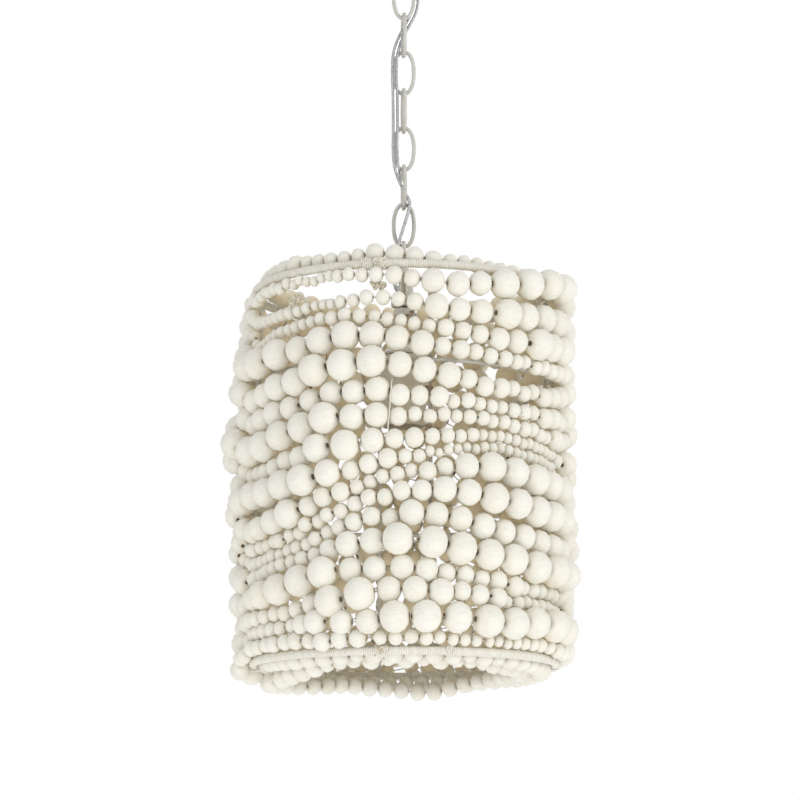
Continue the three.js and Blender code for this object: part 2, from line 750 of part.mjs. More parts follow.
// Where a string has its sections. Large beads swell one by one, with a neck between
// them, and a run of small ones is a plain tube.
function stringPlaces(beads) {
  const places = [];
  let run = 0;
  beads.forEach((bead, i) => {
    const next = beads[(i + 1) % beads.length];
    const nextAngle = next.angle + (i === beads.length - 1 ? 360 : 0);
    const large = bead.size >= lumpFrom;
    const nextLarge = next.size >= lumpFrom;
    if (large || i === 0 || run >= tubeStep) {
      places.push({ angle: bead.angle, size: bead.size, lift: bead.size });
      run = 0;
    }
    run += (bead.size + next.size) / 2;
    if (large || nextLarge) {
      const split = bead.size / (bead.size + next.size);
      const small = Math.min(bead.size, next.size);
      places.push({
        angle: bead.angle + (nextAngle - bead.angle) * split,
        size: small * (large && nextLarge ? neckShare : slimNeckShare),
        lift: (bead.size + next.size) / 2,
      });
      run = small / 2;
    }
  });
  return places;
}

// The two sections next to an angle, and how far the angle lies from one to the other.
function between(places, angle) {
  for (let i = 0; i < places.length; i += 1) {
    const from = places[i];
    const to = places[(i + 1) % places.length];
    const span = wrap(to.angle - from.angle);
    const into = wrap(angle - from.angle);
    if (into <= span) {
      return { from, to, share: into / span };
    }
  }
  return { from: places[0], to: places[0], share: 0 };
}

// Rows rest on each other: where two come too near, both give way.
function settle(strings) {
  const contacts = [];
  for (let k = 0; k + 1 < strings.length; k += 1) {
    for (const { angle } of [...strings[k], ...strings[k + 1]]) {
      const over = between(strings[k], angle);
      const under = between(strings[k + 1], angle);
      const half = ({ from, to, share }) =>
        (from.size + (to.size - from.size) * share) / 2 * flatShare;
      contacts.push({ over, under, apart: half(over) + half(under) + restGap });
    }
  }
  const level = ({ from, to, share }) => from.z + (to.z - from.z) * share;
  const move = ({ from, to, share }, by) => {
    from.z += by * (1 - share);
    to.z += by * share;
  };
  const weight = ({ share }) => (1 - share) ** 2 + share ** 2;
  for (let round = 0; round < settleRounds; round += 1) {
    for (const { over, under, apart } of contacts) {
      const lack = apart - (level(over) - level(under));
      if (lack > 0) {
        const push = lack / (weight(over) + weight(under));
        move(over, push);
        move(under, -push);
      }
    }
    for (const place of strings[0]) {
      place.z = Math.min(place.z, frameHeight - ringSeat);
    }
    for (const place of strings[strings.length - 1]) {
      place.z = Math.max(place.z, ringSeat);
    }
  }
}

// One row as a closed string. Outside the frame its straight runs are moved out until
// they clear the hoops and rings.
function beadString(places, middleRadius, carrierZ, clearsFrame) {
  const rings = places.map(({ angle, size, lift, z }, i) => {
    const before = places[(i + places.length - 1) % places.length].angle;
    const after = places[(i + 1) % places.length].angle;
    const widest = Math.max(wrap(angle - before), wrap(after - angle));
    const bulge = clearsFrame ? Math.cos(radians(widest / 2)) : 1;
    const radius = middleRadius(lift, angle) / bulge;
    const ring = [];
    for (let k = 0; k < lumpSides; k += 1) {
      const turn = (-k / lumpSides) * 2 * Math.PI;
      ring.push(front(angle, radius + (size / 2) * Math.cos(turn),
        carrierZ + z + (size / 2) * Math.sin(turn)));
    }
    return ring;
  });
  return skin(rings, true);
}

const outerRadius = (size) => ringRadius + beadStandoff + size / 2;
const strings = rows.map((row) => {
  const heightShare = rowHeight(row);
  const places = stringPlaces(layOut(row, outerRadius));
  for (const place of places) {
    place.z = heightShare(place.angle) * frameHeight;
  }
  return places;
});
settle(strings);
strings.forEach((places, k) => {
  const name = `beads_row_${String(k + 1).padStart(2, '0')}`;
  add(name, beadString(places, outerRadius, bottomRingZ, true), beadWood);
});

for (const row of innerRows) {
  const insetShare = roundCurve(loopAngles, row.insetShares);
  const riseShare = roundCurve(loopAngles, row.riseShares);
  const carrierZ = row.name === 'beads_crown' ? topRingZ : bottomRingZ;
  const radius = (size, angle) => ringRadius - insetShare(angle) * beadSize.e;
  const places = stringPlaces(layOut(row, (size) => radius(size, row.start)));
  for (const place of places) {
    place.z = riseShare(place.angle) * beadSize.e;
  }
  add(row.name, beadString(places, radius, carrierZ, false), beadWood);
}

export default part;
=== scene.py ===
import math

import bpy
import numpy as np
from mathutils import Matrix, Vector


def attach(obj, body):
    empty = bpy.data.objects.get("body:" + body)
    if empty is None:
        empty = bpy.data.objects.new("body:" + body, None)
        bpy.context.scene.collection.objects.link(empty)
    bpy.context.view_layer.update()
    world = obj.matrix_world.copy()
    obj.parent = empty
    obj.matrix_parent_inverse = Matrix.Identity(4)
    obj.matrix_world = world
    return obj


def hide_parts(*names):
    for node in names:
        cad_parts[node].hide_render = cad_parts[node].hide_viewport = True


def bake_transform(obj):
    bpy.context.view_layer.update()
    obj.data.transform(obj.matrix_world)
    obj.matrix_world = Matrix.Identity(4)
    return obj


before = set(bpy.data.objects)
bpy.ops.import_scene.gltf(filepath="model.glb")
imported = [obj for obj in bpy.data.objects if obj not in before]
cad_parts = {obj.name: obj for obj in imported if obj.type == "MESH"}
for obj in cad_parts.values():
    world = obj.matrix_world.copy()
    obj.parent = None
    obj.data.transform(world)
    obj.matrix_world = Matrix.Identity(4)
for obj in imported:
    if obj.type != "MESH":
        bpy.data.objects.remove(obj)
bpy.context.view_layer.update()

# Beaded chandelier. A wire drum with twine round its rings carries rows of white-washed
# wooden beads, and hangs on a chain from a ceiling canopy. +Z is up, in the frame of the
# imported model. Meshes, camera and lamps are in metres; outlines, tables and named sizes
# are in millimetres, unless they say otherwise.

MM = 0.001


# Camera: a little below the drum, looking slightly up at it.

CAMERA_AT = (-0.0033, -2.540, -0.86885)
CAMERA_TILT = 9.97


def set_camera():
    data = bpy.data.cameras.new("camera")
    data.sensor_width = 36
    data.lens = 135.8
    data.clip_start, data.clip_end = 0.05, 40
    camera = bpy.data.objects.new("camera", data)
    camera.location = CAMERA_AT
    camera.rotation_euler = (math.radians(90 + CAMERA_TILT), 0, 0)
    bpy.context.scene.collection.objects.link(camera)
    bpy.context.scene.camera = camera


set_camera()


# Node trees.

class Tree:
    """Adds nodes to a tree and links their inputs."""

    def __init__(self, tree, inputs=(), outputs=()):
        self.tree = tree
        for label, kind, value in inputs:
            made = tree.interface.new_socket(label, in_out="INPUT",
                socket_type="NodeSocket" + kind)
            if value is not None:
                made.default_value = value
        for label, kind in outputs:
            tree.interface.new_socket(label, in_out="OUTPUT", socket_type="NodeSocket" + kind)
        self.given = self.node("NodeGroupInput").outputs if inputs else None
        self.end = self.node("NodeGroupOutput") if outputs else None

    def set(self, socket, value):
        if isinstance(value, bpy.types.NodeSocket):
            self.tree.links.new(value, socket)
        else:
            socket.default_value = value

    def node(self, kind, inputs=None, **settings):
        node = self.tree.nodes.new(kind)
        for key, value in settings.items():
            setattr(node, key, value)
        for key, value in (inputs or {}).items():
            self.set(node.inputs[key] if isinstance(key, int) else next(
                s for s in node.inputs if s.name == key and s.enabled), value)
        return node

    def out(self, kind, inputs=None, **settings):
        node = self.node(kind, inputs, **settings)
        return next(s for s in node.outputs if s.enabled)

    def math(self, operation, *values):
        return self.out("ShaderNodeMath", dict(enumerate(values)), operation=operation)

    def vector(self, operation, *values):
        return self.out("ShaderNodeVectorMath", dict(enumerate(values)), operation=operation)

    def spread(self, value, low, high, to_low=0.0, to_high=1.0):
        return self.out("ShaderNodeMapRange", {"Value": value, "From Min": low,
            "From Max": high, "To Min": to_low, "To Max": to_high},
            interpolation_type="SMOOTHSTEP")

    def mix(self, share, one, other):
        """One colour or the other, of which plain ones come as red, green and blue."""
        one, other = ((*c, 1) if isinstance(c, tuple) else c for c in (one, other))
        return self.out("ShaderNodeMix", {0: share, 6: one, 7: other}, data_type="RGBA")

    def over(self, colour, share, amount, other):
        """The colour with an amount of another one laid over it, as far as a share goes."""
        return self.mix(self.math("MULTIPLY", share, amount), colour, other)

    def effect(self, group, **inputs):
        node = self.node("ShaderNodeGroup", node_tree=group)
        for label, value in inputs.items():
            self.set(node.inputs[label], value)
        return node.outputs

    def store(self, geometry, label, value, **kind):
        return self.out("GeometryNodeStoreNamedAttribute",
            {"Geometry": geometry, "Name": label, "Value": value}, domain="POINT", **kind)

    def stored(self, label, **kind):
        return self.out("GeometryNodeInputNamedAttribute", {"Name": label}, **kind)

    def close(self, **ends):
        for label, value in ends.items():
            self.tree.links.new(value, self.end.inputs[label])
        return self.tree


# Effects that several finishes share.

def shader_group(name, scale, amount, value, *outputs):
    """A group's tree, with a vector, a scale and one more value as its inputs."""
    tree = Tree(bpy.data.node_groups.new(name, "ShaderNodeTree"),
        [("Vector", "Vector", None), ("Scale", "Float", scale), (amount, "Float", value)],
        [(label, "Float") for label in outputs])
    return tree, tree.given


def mottle_effect():
    """Cloudy patches."""
    tree, given = shader_group("mottle", 60.0, "Contrast", 0.25, "Share")
    noise = tree.out("ShaderNodeTexNoise", {"Vector": given["Vector"],
        "Scale": given["Scale"], "Detail": 3.0, "Roughness": 0.55})
    low = tree.math("SUBTRACT", 0.5, given["Contrast"])
    high = tree.math("ADD", 0.5, given["Contrast"])
    return tree.close(Share=tree.spread(noise, low, high))


def grain_effect():
    """Fine lines along the vector's Z, and the pores among them."""
    tree, given = shader_group("grain", 10.0, "Stretch", 0.12, "Lines", "Pores")
    squeeze = tree.out("ShaderNodeCombineXYZ", {"X": 1.0, "Y": 1.0, "Z": given["Stretch"]})
    drawn = tree.vector("MULTIPLY", given["Vector"], squeeze)
    lines = tree.out("ShaderNodeTexNoise", {"Vector": drawn, "Scale": given["Scale"],
        "Detail": 4.0, "Roughness": 0.6, "Distortion": 0.4})
    finer = tree.math("MULTIPLY", given["Scale"], 3.1)
    pores = tree.out("ShaderNodeTexNoise", {"Vector": drawn, "Scale": finer, "Detail": 2.0})
    return tree.close(Lines=lines, Pores=tree.spread(pores, 0.58, 0.74))


def wear_effect():
    """Small rubbed spots, 1 where the finish is worn through."""
    tree, given = shader_group("wear", 200.0, "Amount", 0.2, "Share")
    noise = tree.out("ShaderNodeTexNoise", {"Vector": given["Vector"],
        "Scale": given["Scale"], "Detail": 5.0, "Roughness": 0.65})
    low = tree.math("SUBTRACT", 0.80, given["Amount"])
    high = tree.math("ADD", low, 0.08)
    return tree.close(Share=tree.spread(noise, low, high))


MOTTLE = mottle_effect()
GRAIN = grain_effect()
WEAR = wear_effect()


# Finishes.

def new_finish(name, **plain):
    """A material and its tree, with plain values set on the shader itself."""
    material = bpy.data.materials.new(name)
    material.use_nodes = True
    nodes = Tree(material.node_tree)
    shader = material.node_tree.nodes["Principled BSDF"]
    for label, value in plain.items():
        shader.inputs[label.replace("_", " ")].default_value = value
    return material, nodes, shader


def feed(nodes, shader, colour, roughness=None, height=None, depth=0.0002, strength=0.5):
    nodes.set(shader.inputs["Base Color"], colour)
    if roughness is not None:
        nodes.set(shader.inputs["Roughness"], roughness)
    if height is not None:
        made = nodes.out("ShaderNodeBump", {"Height": height, "Strength": strength,
            "Distance": depth})
        nodes.set(shader.inputs["Normal"], made)


def place(nodes):
    return nodes.node("ShaderNodeTexCoord").outputs["Object"]


def own(nodes, label, socket):
    """What the mesh itself stores under a label."""
    return nodes.node("ShaderNodeAttribute", attribute_name=label).outputs[socket]


def clouds_at(nodes, at, scale, contrast=0.3):
    return nodes.effect(MOTTLE, Vector=at, Scale=float(scale), Contrast=contrast)["Share"]


def painted_inside_shade(nodes, at):
    """How much painted shade, a warm tan, lies where a face looks at the drum's axis, well
    above the bottom ring: the shaded inside of the drum, warmed by light bounced among beads."""
    out = nodes.vector("NORMALIZE", nodes.vector("MULTIPLY", at, (1.0, 1.0, 0.0)))
    facing = nodes.node("ShaderNodeTexCoord").outputs["Normal"]
    outward = nodes.node("ShaderNodeVectorMath", {0: out, 1: facing},
        operation="DOT_PRODUCT").outputs["Value"]
    inside = nodes.spread(outward, -0.75, 0.2, 0.75, 0.0)
    height = nodes.node("ShaderNodeSeparateXYZ", {0: at}).outputs["Z"]
    return nodes.math("MULTIPLY", inside, nodes.spread(height, -0.652, -0.638))


def washed_wood():
    """Lime-washed wood: a chalky white film over pale wood, thin in places, with painted shade in
    the bore and on faces inside the drum.
    """
    material, nodes, shader = new_finish("washed_wood", Specular_IOR_Level=0.3)
    at = place(nodes)
    tone = own(nodes, "tone", "Fac")
    local = own(nodes, "bead_place", "Vector")
    shift = nodes.math("MULTIPLY", tone, 37.0)
    turned = nodes.vector("ADD", local, nodes.out("ShaderNodeCombineXYZ",
        {"X": shift, "Y": shift, "Z": shift}))
    clouds = clouds_at(nodes, at, 75)
    grain = nodes.effect(GRAIN, Vector=turned, Scale=9.0, Stretch=0.14)
    film = nodes.mix(tone, (0.875, 0.853, 0.765), (0.845, 0.81, 0.71))
    film = nodes.over(film, clouds, 0.4, (0.885, 0.87, 0.80))
    # Painted shade: a warm tan on faces that look into the drum, where it lies in shade.
    film = nodes.mix(painted_inside_shade(nodes, at), film, (0.80, 0.66, 0.41))
    lines = nodes.spread(grain["Lines"], 0.42, 0.75)
    film = nodes.over(film, lines, 0.30, (0.66, 0.61, 0.50))
    film = nodes.over(film, grain["Pores"], 0.22, (0.50, 0.43, 0.32))
    # Painted shade: near black, darkening each bead's bore and the edge round it.
    off_axis = nodes.vector("LENGTH", nodes.vector("MULTIPLY", local, (1.0, 1.0, 0.0)))
    bore_shade = nodes.spread(off_axis, 0.076, 0.10, 1.0, 0.0)
    film = nodes.over(film, bore_shade, 0.85, (0.16, 0.11, 0.06))
    rough = nodes.spread(clouds, 0.0, 1.0, 0.62, 0.78)
    height = nodes.math("ADD", nodes.math("MULTIPLY", grain["Lines"], 0.6),
        nodes.math("MULTIPLY", grain["Pores"], -0.5))
    feed(nodes, shader, film, rough, height, 0.00018, 0.35)
    return material


def cotton_twine():
    """Undyed twine: each turn has a tone of its own, with fibres along it, and painted shade in the
    grooves between turns.
    """
    material, nodes, shader = new_finish("cotton_twine", Specular_IOR_Level=0.2,
        Sheen_Weight=0.15, Sheen_Roughness=0.5)
    at = place(nodes)
    turn = own(nodes, "turn", "Fac")
    each = nodes.out("ShaderNodeTexWhiteNoise", {"W": nodes.math("FLOOR", turn)},
        noise_dimensions="1D")
    fibres = nodes.effect(GRAIN, Vector=at, Scale=900.0, Stretch=0.5)
    colour = nodes.mix(each, (0.88, 0.86, 0.79), (0.79, 0.765, 0.68))
    colour = nodes.over(colour, clouds_at(nodes, at, 28, 0.22), 0.4, (0.76, 0.72, 0.61))
    colour = nodes.over(colour, fibres["Pores"], 0.2, (0.50, 0.44, 0.33))
    # Painted shade darkening the grooves between neighbouring turns.
    across = nodes.math("ABSOLUTE", nodes.math("SUBTRACT", nodes.math("FRACT", turn), 0.5))
    groove = nodes.spread(across, 0.30, 0.47, 0.0, 0.5)
    colour = nodes.mix(groove, colour, (0.26, 0.22, 0.15))
    rough = nodes.spread(fibres["Lines"], 0.3, 0.7, 0.8, 0.95)
    feed(nodes, shader, colour, rough, fibres["Lines"], 0.00015, 0.5)
    return material


def brushed_paint():
    """Off-white paint brushed over wire, rubbed through to the primer in small spots."""
    material, nodes, shader = new_finish("brushed_paint", Specular_IOR_Level=0.4)
    at = place(nodes)
    clouds = clouds_at(nodes, at, 130, 0.28)
    rubbed = nodes.effect(WEAR, Vector=at, Scale=420.0, Amount=0.16)["Share"]
    strokes = nodes.effect(GRAIN, Vector=at, Scale=700.0, Stretch=0.15)
    colour = nodes.mix(clouds, (0.63, 0.62, 0.565), (0.54, 0.53, 0.475))
    colour = nodes.over(colour, rubbed, 0.6, (0.25, 0.23, 0.18))
    rough = nodes.spread(clouds, 0.0, 1.0, 0.30, 0.46)
    height = nodes.math("SUBTRACT", nodes.math("MULTIPLY", strokes["Lines"], 0.5), rubbed)
    feed(nodes, shader, colour, rough, height, 0.00012, 0.35)
    return material


def lamp_brass():
    material, nodes, shader = new_finish("lamp_brass", Metallic=1.0)
    at = place(nodes)
    clouds = clouds_at(nodes, at, 120)
    spots = nodes.effect(WEAR, Vector=at, Scale=500.0, Amount=0.14)["Share"]
    colour = nodes.mix(clouds, (0.66, 0.57, 0.41), (0.55, 0.46, 0.32))
    colour = nodes.over(colour, spots, 0.5, (0.33, 0.26, 0.16))
    rough = nodes.spread(clouds, 0.0, 1.0, 0.24, 0.42)
    feed(nodes, shader, colour, rough, spots, 0.00005, 0.3)
    return material


def two_tones(name, scale, one, other, depth, strength, rough=None, contrast=0.3, **plain):
    """A finish in cloudy patches of two tones, which also give its roughness and bump."""
    material, nodes, shader = new_finish(name, **plain)
    clouds = clouds_at(nodes, place(nodes), scale, contrast)
    rough = rough and nodes.spread(clouds, 0.0, 1.0, *rough)
    feed(nodes, shader, nodes.mix(clouds, one, other), rough, clouds, depth, strength)
    return material


def fibred(name, scale, one, other, fibres, rough, depth, strength, pores=None, **plain):
    """The same, with roughness and bump from the fibres or lines that run through it."""
    material, nodes, shader = new_finish(name, **plain)
    at = place(nodes)
    grain = nodes.effect(GRAIN, Vector=at, Scale=fibres[0], Stretch=fibres[1])
    colour = nodes.mix(clouds_at(nodes, at, scale), one, other)
    if pores:
        colour = nodes.over(colour, grain["Pores"], *pores)
    feed(nodes, shader, colour, nodes.spread(grain["Lines"], *rough), grain["Lines"], depth,
        strength)
    return material


WOOD, TWINE, PAINT, BRASS = washed_wood(), cotton_twine(), brushed_paint(), lamp_brass()
THREAD = two_tones("bead_thread", 900, (0.56, 0.50, 0.38), (0.76, 0.71, 0.59), 0.0001, 0.5,
    Roughness=0.85)
# Finish of the dark knots that are put at small dark spots between the front beads.
DARK = two_tones("dark_knot_finish", 900, (0.14, 0.10, 0.06), (0.30, 0.23, 0.15), 0.0001, 0.5,
    Roughness=0.8)
STEEL = fibred("plated_steel", 160, (0.66, 0.65, 0.62), (0.55, 0.545, 0.53), (1500.0, 0.06),
    (0.25, 0.75, 0.28, 0.48), 0.00004, 0.4, Metallic=1.0)
CARD = fibred("sleeve_card", 90, (0.71, 0.67, 0.57), (0.64, 0.59, 0.48), (1200.0, 0.6),
    (0.3, 0.7, 0.75, 0.92), 0.0001, 0.4, (0.3, (0.45, 0.39, 0.29)), Specular_IOR_Level=0.25)
PORCELAIN = two_tones("white_porcelain", 110, (0.84, 0.83, 0.79), (0.78, 0.765, 0.72),
    0.00005, 0.3, (0.18, 0.3), Coat_Weight=0.6, Coat_Roughness=0.08)
JACKET = two_tones("clear_jacket", 260, (0.86, 0.87, 0.86), (0.74, 0.75, 0.75), 0.00006, 0.3,
    (0.08, 0.22), Transmission_Weight=0.75, IOR=1.45)
STRAND = two_tones("tinned_strand", 1100, (0.74, 0.74, 0.75), (0.42, 0.43, 0.45), 0.0002, 0.6,
    (0.22, 0.5), 0.2, Metallic=1.0)


# Meshes.

def new_piece(name, points, faces, finishes, which=None, smooth=True):
    mesh = bpy.data.meshes.new(name)
    mesh.from_pydata([tuple(p) for p in points], [], faces)
    for finish in finishes:
        mesh.materials.append(finish)
    if which is not None:
        mesh.polygons.foreach_set("material_index", which)
    mesh.shade_smooth() if smooth else mesh.shade_flat()
    piece = bpy.data.objects.new(name, mesh)
    bpy.context.scene.collection.objects.link(piece)
    return piece


def skin(rings):
    """Points and faces of a skin with flat ends over rings of points, which all run the
    same way round, anticlockwise as seen from ahead."""
    count, sides = len(rings), len(rings[0])
    points = [p for ring in rings for p in ring]
    faces = [tuple(range(sides - 1, -1, -1)), tuple(range((count - 1) * sides, count * sides))]
    for here in range(0, (count - 1) * sides, sides):
        for k in range(sides):
            after = (k + 1) % sides
            faces.append((here + k, here + after, here + sides + after, here + sides + k))
    return points, faces


def together(*parts):
    """One list of points and one of faces from several skins."""
    points, faces = [], []
    for more, their in parts:
        first = len(points)
        points.extend(more)
        faces.extend(tuple(first + i for i in face) for face in their)
    return points, faces


def turned(outline, sides=64, radius_at=None):
    """A solid of revolution from (radius, height) pairs in millimetres, which run round
    the section with the material on their left. Pairs of radius 0 close it on the axis."""
    points, faces, rows = [], [], []
    for radius, height in outline:
        first, count = len(points), sides if radius else 1
        rows.append([first + k % count for k in range(sides)])
        for k in range(count):
            turn = 2 * math.pi * k / sides
            out = radius_at(radius, height, turn) if radius_at and radius else radius
            points.append((out * MM * math.cos(turn), out * MM * math.sin(turn), height * MM))
    on_axis = outline[0][0] == 0
    for here, there in zip(rows, rows[1:] if on_axis else rows[1:] + rows[:1]):
        for k in range(sides):
            after = (k + 1) % sides
            corners = (here[k], here[after], there[after], there[k])
            faces.append(tuple(dict.fromkeys(corners)))
    return points, faces


def eased(outline, cut):
    """The same outline with each corner off the axis cut back a little."""
    made = []
    for i, (radius, height) in enumerate(outline):
        if radius == 0:
            made.append((radius, height))
            continue
        here = np.array((radius, height), float)
        for other in (outline[i - 1], outline[(i + 1) % len(outline)]):
            way = np.array(other, float) - here
            made.append(tuple(here + way * min(cut / np.linalg.norm(way), 0.45)))
    return made


def soften(piece, degrees=35):
    """Smooth faces with sharp edges where they meet at more than this angle."""
    piece.data.shade_smooth()
    piece.data.set_sharp_from_angle(angle=math.radians(degrees))
    return piece


def dress(piece, body, slot, *nodes):
    """The piece moves with a body and stands for CAD nodes, which it hides. The slot is not used.
    """
    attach(piece, body)
    if nodes:
        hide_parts(*nodes)


def turned_piece(name, outline, sides, finish, body, slot, node, radius_at=None, sharp=35):
    piece = new_piece(name, *turned(outline, sides, radius_at), [finish])
    dress(soften(piece, sharp), body, slot, node)


# Geometry Nodes.

def geometry_tree(name, inputs):
    tree = Tree(bpy.data.node_groups.new(name, "GeometryNodeTree"),
        [("Geometry", "Geometry", None), *inputs], [("Geometry", "Geometry")])
    return tree, tree.given


def grow(name, points, edges, tree, sizes, marks=()):
    """A plain mesh that a tree makes from a few points and edges."""
    seed = bpy.data.meshes.new(name)
    seed.from_pydata([tuple(p) for p in points], edges, [])
    for label, kind, values in marks:
        mark = seed.attributes.new(label, kind, "POINT")
        mark.data.foreach_set("vector" if kind == "FLOAT_VECTOR" else "value",
            np.asarray(values, np.float32).ravel())
    piece = bpy.data.objects.new(name, seed)
    bpy.context.scene.collection.objects.link(piece)
    modifier = piece.modifiers.new("tree", "NODES")
    modifier.node_group = tree
    for socket in tree.interface.items_tree:
        if socket.in_out == "INPUT" and socket.name in sizes:
            modifier[socket.identifier] = sizes[socket.name]
    graph = bpy.context.evaluated_depsgraph_get()
    made = bpy.data.meshes.new_from_object(piece.evaluated_get(graph))
    piece.modifiers.remove(modifier)
    piece.data = made
    made.name = name
    bpy.data.meshes.remove(seed)
    return piece


def loop_edges(count, closed=True):
    return [(i, (i + 1) % count) for i in range(count if closed else count - 1)]


def section(tree, sides, radius):
    return tree.out("GeometryNodeCurvePrimitiveCircle", {"Resolution": sides,
        "Radius": radius})


def close_whole(tree, geometry, finish):
    """A tree's end: smooth faces, no instances, one finish."""
    smooth = tree.out("GeometryNodeSetShadeSmooth", {"Geometry": geometry})
    whole = tree.out("GeometryNodeRealizeInstances", {"Geometry": smooth})
    return tree.close(Geometry=tree.out("GeometryNodeSetMaterial",
        {"Geometry": whole, "Material": finish}))


def wire_tree():
    """A round wire along the edges. Turn gives twine its tone."""
    tree, given = geometry_tree("round_wire", [("Radius", "Float", 0.0017),
        ("Sides", "Int", 16), ("Turn", "Float", 0.5), ("Finish", "Material", None)])
    line = tree.out("GeometryNodeMeshToCurve", {"Mesh": given["Geometry"]})
    tube = tree.out("GeometryNodeCurveToMesh", {"Curve": line,
        "Profile Curve": section(tree, given["Sides"], given["Radius"]), "Fill Caps": True})
    return close_whole(tree, tree.store(tube, "turn", given["Turn"]), given["Finish"])


def winding_tree():
    """Twine wound round a closed wire in close turns."""
    tree, given = geometry_tree("wound_twine", [("Core", "Float", 0.0025),
        ("Twine", "Float", 0.0013), ("Turns", "Int", 440), ("Steps", "Int", 5),
        ("Sides", "Int", 12), ("Unevenness", "Float", 0.3), ("Finish", "Material", None)])
    line = tree.out("GeometryNodeMeshToCurve", {"Mesh": given["Geometry"]})
    line = tree.out("GeometryNodeResampleCurve", {"Curve": line,
        "Count": tree.math("MULTIPLY", given["Turns"], given["Steps"])})
    along = tree.node("GeometryNodeSplineParameter").outputs["Factor"]
    line = tree.store(line, "along", tree.math("MULTIPLY", along, given["Turns"]))
    core = tree.store(section(tree, given["Sides"], given["Core"]), "round", along)
    tube = tree.out("GeometryNodeCurveToMesh", {"Curve": line, "Profile Curve": core})
    spots = tree.out("ShaderNodeTexNoise", {"Vector": tree.out("GeometryNodeInputPosition"),
        "Scale": 160.0, "Detail": 2.0})
    uneven = tree.math("MULTIPLY", tree.math("SUBTRACT", spots, 0.5), given["Unevenness"])
    turn = tree.math("ADD", tree.math("ADD", tree.stored("along"), tree.stored("round")),
        uneven)
    tube = tree.store(tube, "turn", turn)
    across = tree.math("MULTIPLY_ADD", tree.math("FRACT", turn), 2.0, -1.0)
    crown = tree.math("SQRT", tree.math("MAXIMUM", tree.math("SUBTRACT", 1.0,
        tree.math("MULTIPLY", across, across)), 0.0))
    lift = tree.math("MULTIPLY", crown, tree.math("MULTIPLY", given["Twine"],
        tree.math("ADD", 0.5, uneven)))
    pushed = tree.out("ShaderNodeVectorMath", {0: tree.out("GeometryNodeInputNormal"),
        "Scale": lift}, operation="SCALE")
    tube = tree.out("GeometryNodeSetPosition", {"Geometry": tube, "Offset": pushed})
    return close_whole(tree, tube, given["Finish"])


def bead_shape(tree, segments, bands):
    """A bored bead one unit across, its axis along Z."""
    bore = tree.given["Bore"]
    start = tree.math("ARCSINE", tree.math("MULTIPLY", bore, 2.0))
    arc = tree.out("GeometryNodeCurveArc", {"Resolution": tree.math("ADD", bands, 1.0),
        "Radius": 0.5, "Start Angle": tree.math("SUBTRACT", start, math.pi / 2),
        "Sweep Angle": tree.math("MULTIPLY_ADD", start, -2.0, math.pi)})
    inward = tree.out("ShaderNodeCombineXYZ", {"X": tree.math("MULTIPLY", bore, -1.0)})
    arc = tree.out("GeometryNodeTransform", {"Geometry": arc, "Translation": inward})
    arc = tree.out("GeometryNodeSetSplineCyclic", {"Geometry": arc, "Cyclic": True})
    bead = tree.out("GeometryNodeCurveToMesh", {"Curve": section(tree, segments, bore),
        "Profile Curve": arc})
    return tree.store(bead, "bead_place", tree.out("GeometryNodeInputPosition"),
        data_type="FLOAT_VECTOR")


def bead_tree():
    """A bored bead on each point, turned along its string, and the thread through them.
    Beads up to a given size have fewer faces."""
    tree, given = geometry_tree("strung_beads", [("Segments", "Int", 12),
        ("Bands", "Int", 6), ("Small Segments", "Int", 9), ("Small Bands", "Int", 5),
        ("Small Size", "Float", 0.014), ("Bore", "Float", 0.1), ("Thread", "Float", 0.0006),
        ("Seed", "Int", 1), ("Wood", "Material", None), ("Thread Finish", "Material", None)])
    lie = tree.out("FunctionNodeAlignRotationToVector",
        {"Vector": tree.stored("lie", data_type="FLOAT_VECTOR")}, axis="Z")
    spin = tree.node("FunctionNodeRandomValue", data_type="FLOAT")
    spin.inputs[3].default_value = 2 * math.pi
    tree.set(spin.inputs["Seed"], given["Seed"])
    about = tree.out("FunctionNodeAxisAngleToRotation", {"Angle": spin.outputs[1]})
    lie = tree.out("FunctionNodeRotateRotation", {"Rotation": lie, "Rotate By": about},
        rotation_space="LOCAL")
    size = tree.stored("size", data_type="FLOAT_VECTOR")
    width = tree.out("ShaderNodeSeparateXYZ", {"Vector": size})
    both = tree.node("GeometryNodeJoinGeometry")
    for test, segments, bands in (("GREATER_THAN", "Segments", "Bands"),
            ("LESS_EQUAL", "Small Segments", "Small Bands")):
        pick = tree.out("FunctionNodeCompare", {"A": width, "B": given["Small Size"]},
            data_type="FLOAT", operation=test)
        beads = tree.out("GeometryNodeInstanceOnPoints", {"Points": given["Geometry"],
            "Selection": pick, "Instance": bead_shape(tree, given[segments], given[bands]),
            "Rotation": lie, "Scale": size})
        beads = tree.out("GeometryNodeRealizeInstances", {"Geometry": beads})
        tree.set(both.inputs[0], tree.out("GeometryNodeSetMaterial", {"Geometry": beads,
            "Material": given["Wood"]}))
    line = tree.out("GeometryNodeMeshToCurve", {"Mesh": given["Geometry"]})
    thread = tree.out("GeometryNodeCurveToMesh", {"Curve": line,
        "Profile Curve": section(tree, 5, given["Thread"])})
    tree.set(both.inputs[0], tree.out("GeometryNodeSetMaterial", {"Geometry": thread,
        "Material": given["Thread Finish"]}))
    return tree.close(Geometry=tree.out("GeometryNodeSetShadeSmooth",
        {"Geometry": both.outputs[0]}))


ROUND_WIRE, WINDING, BEADS = wire_tree(), winding_tree(), bead_tree()


# Sizes of the model in millimetres, and the heights that follow from them.

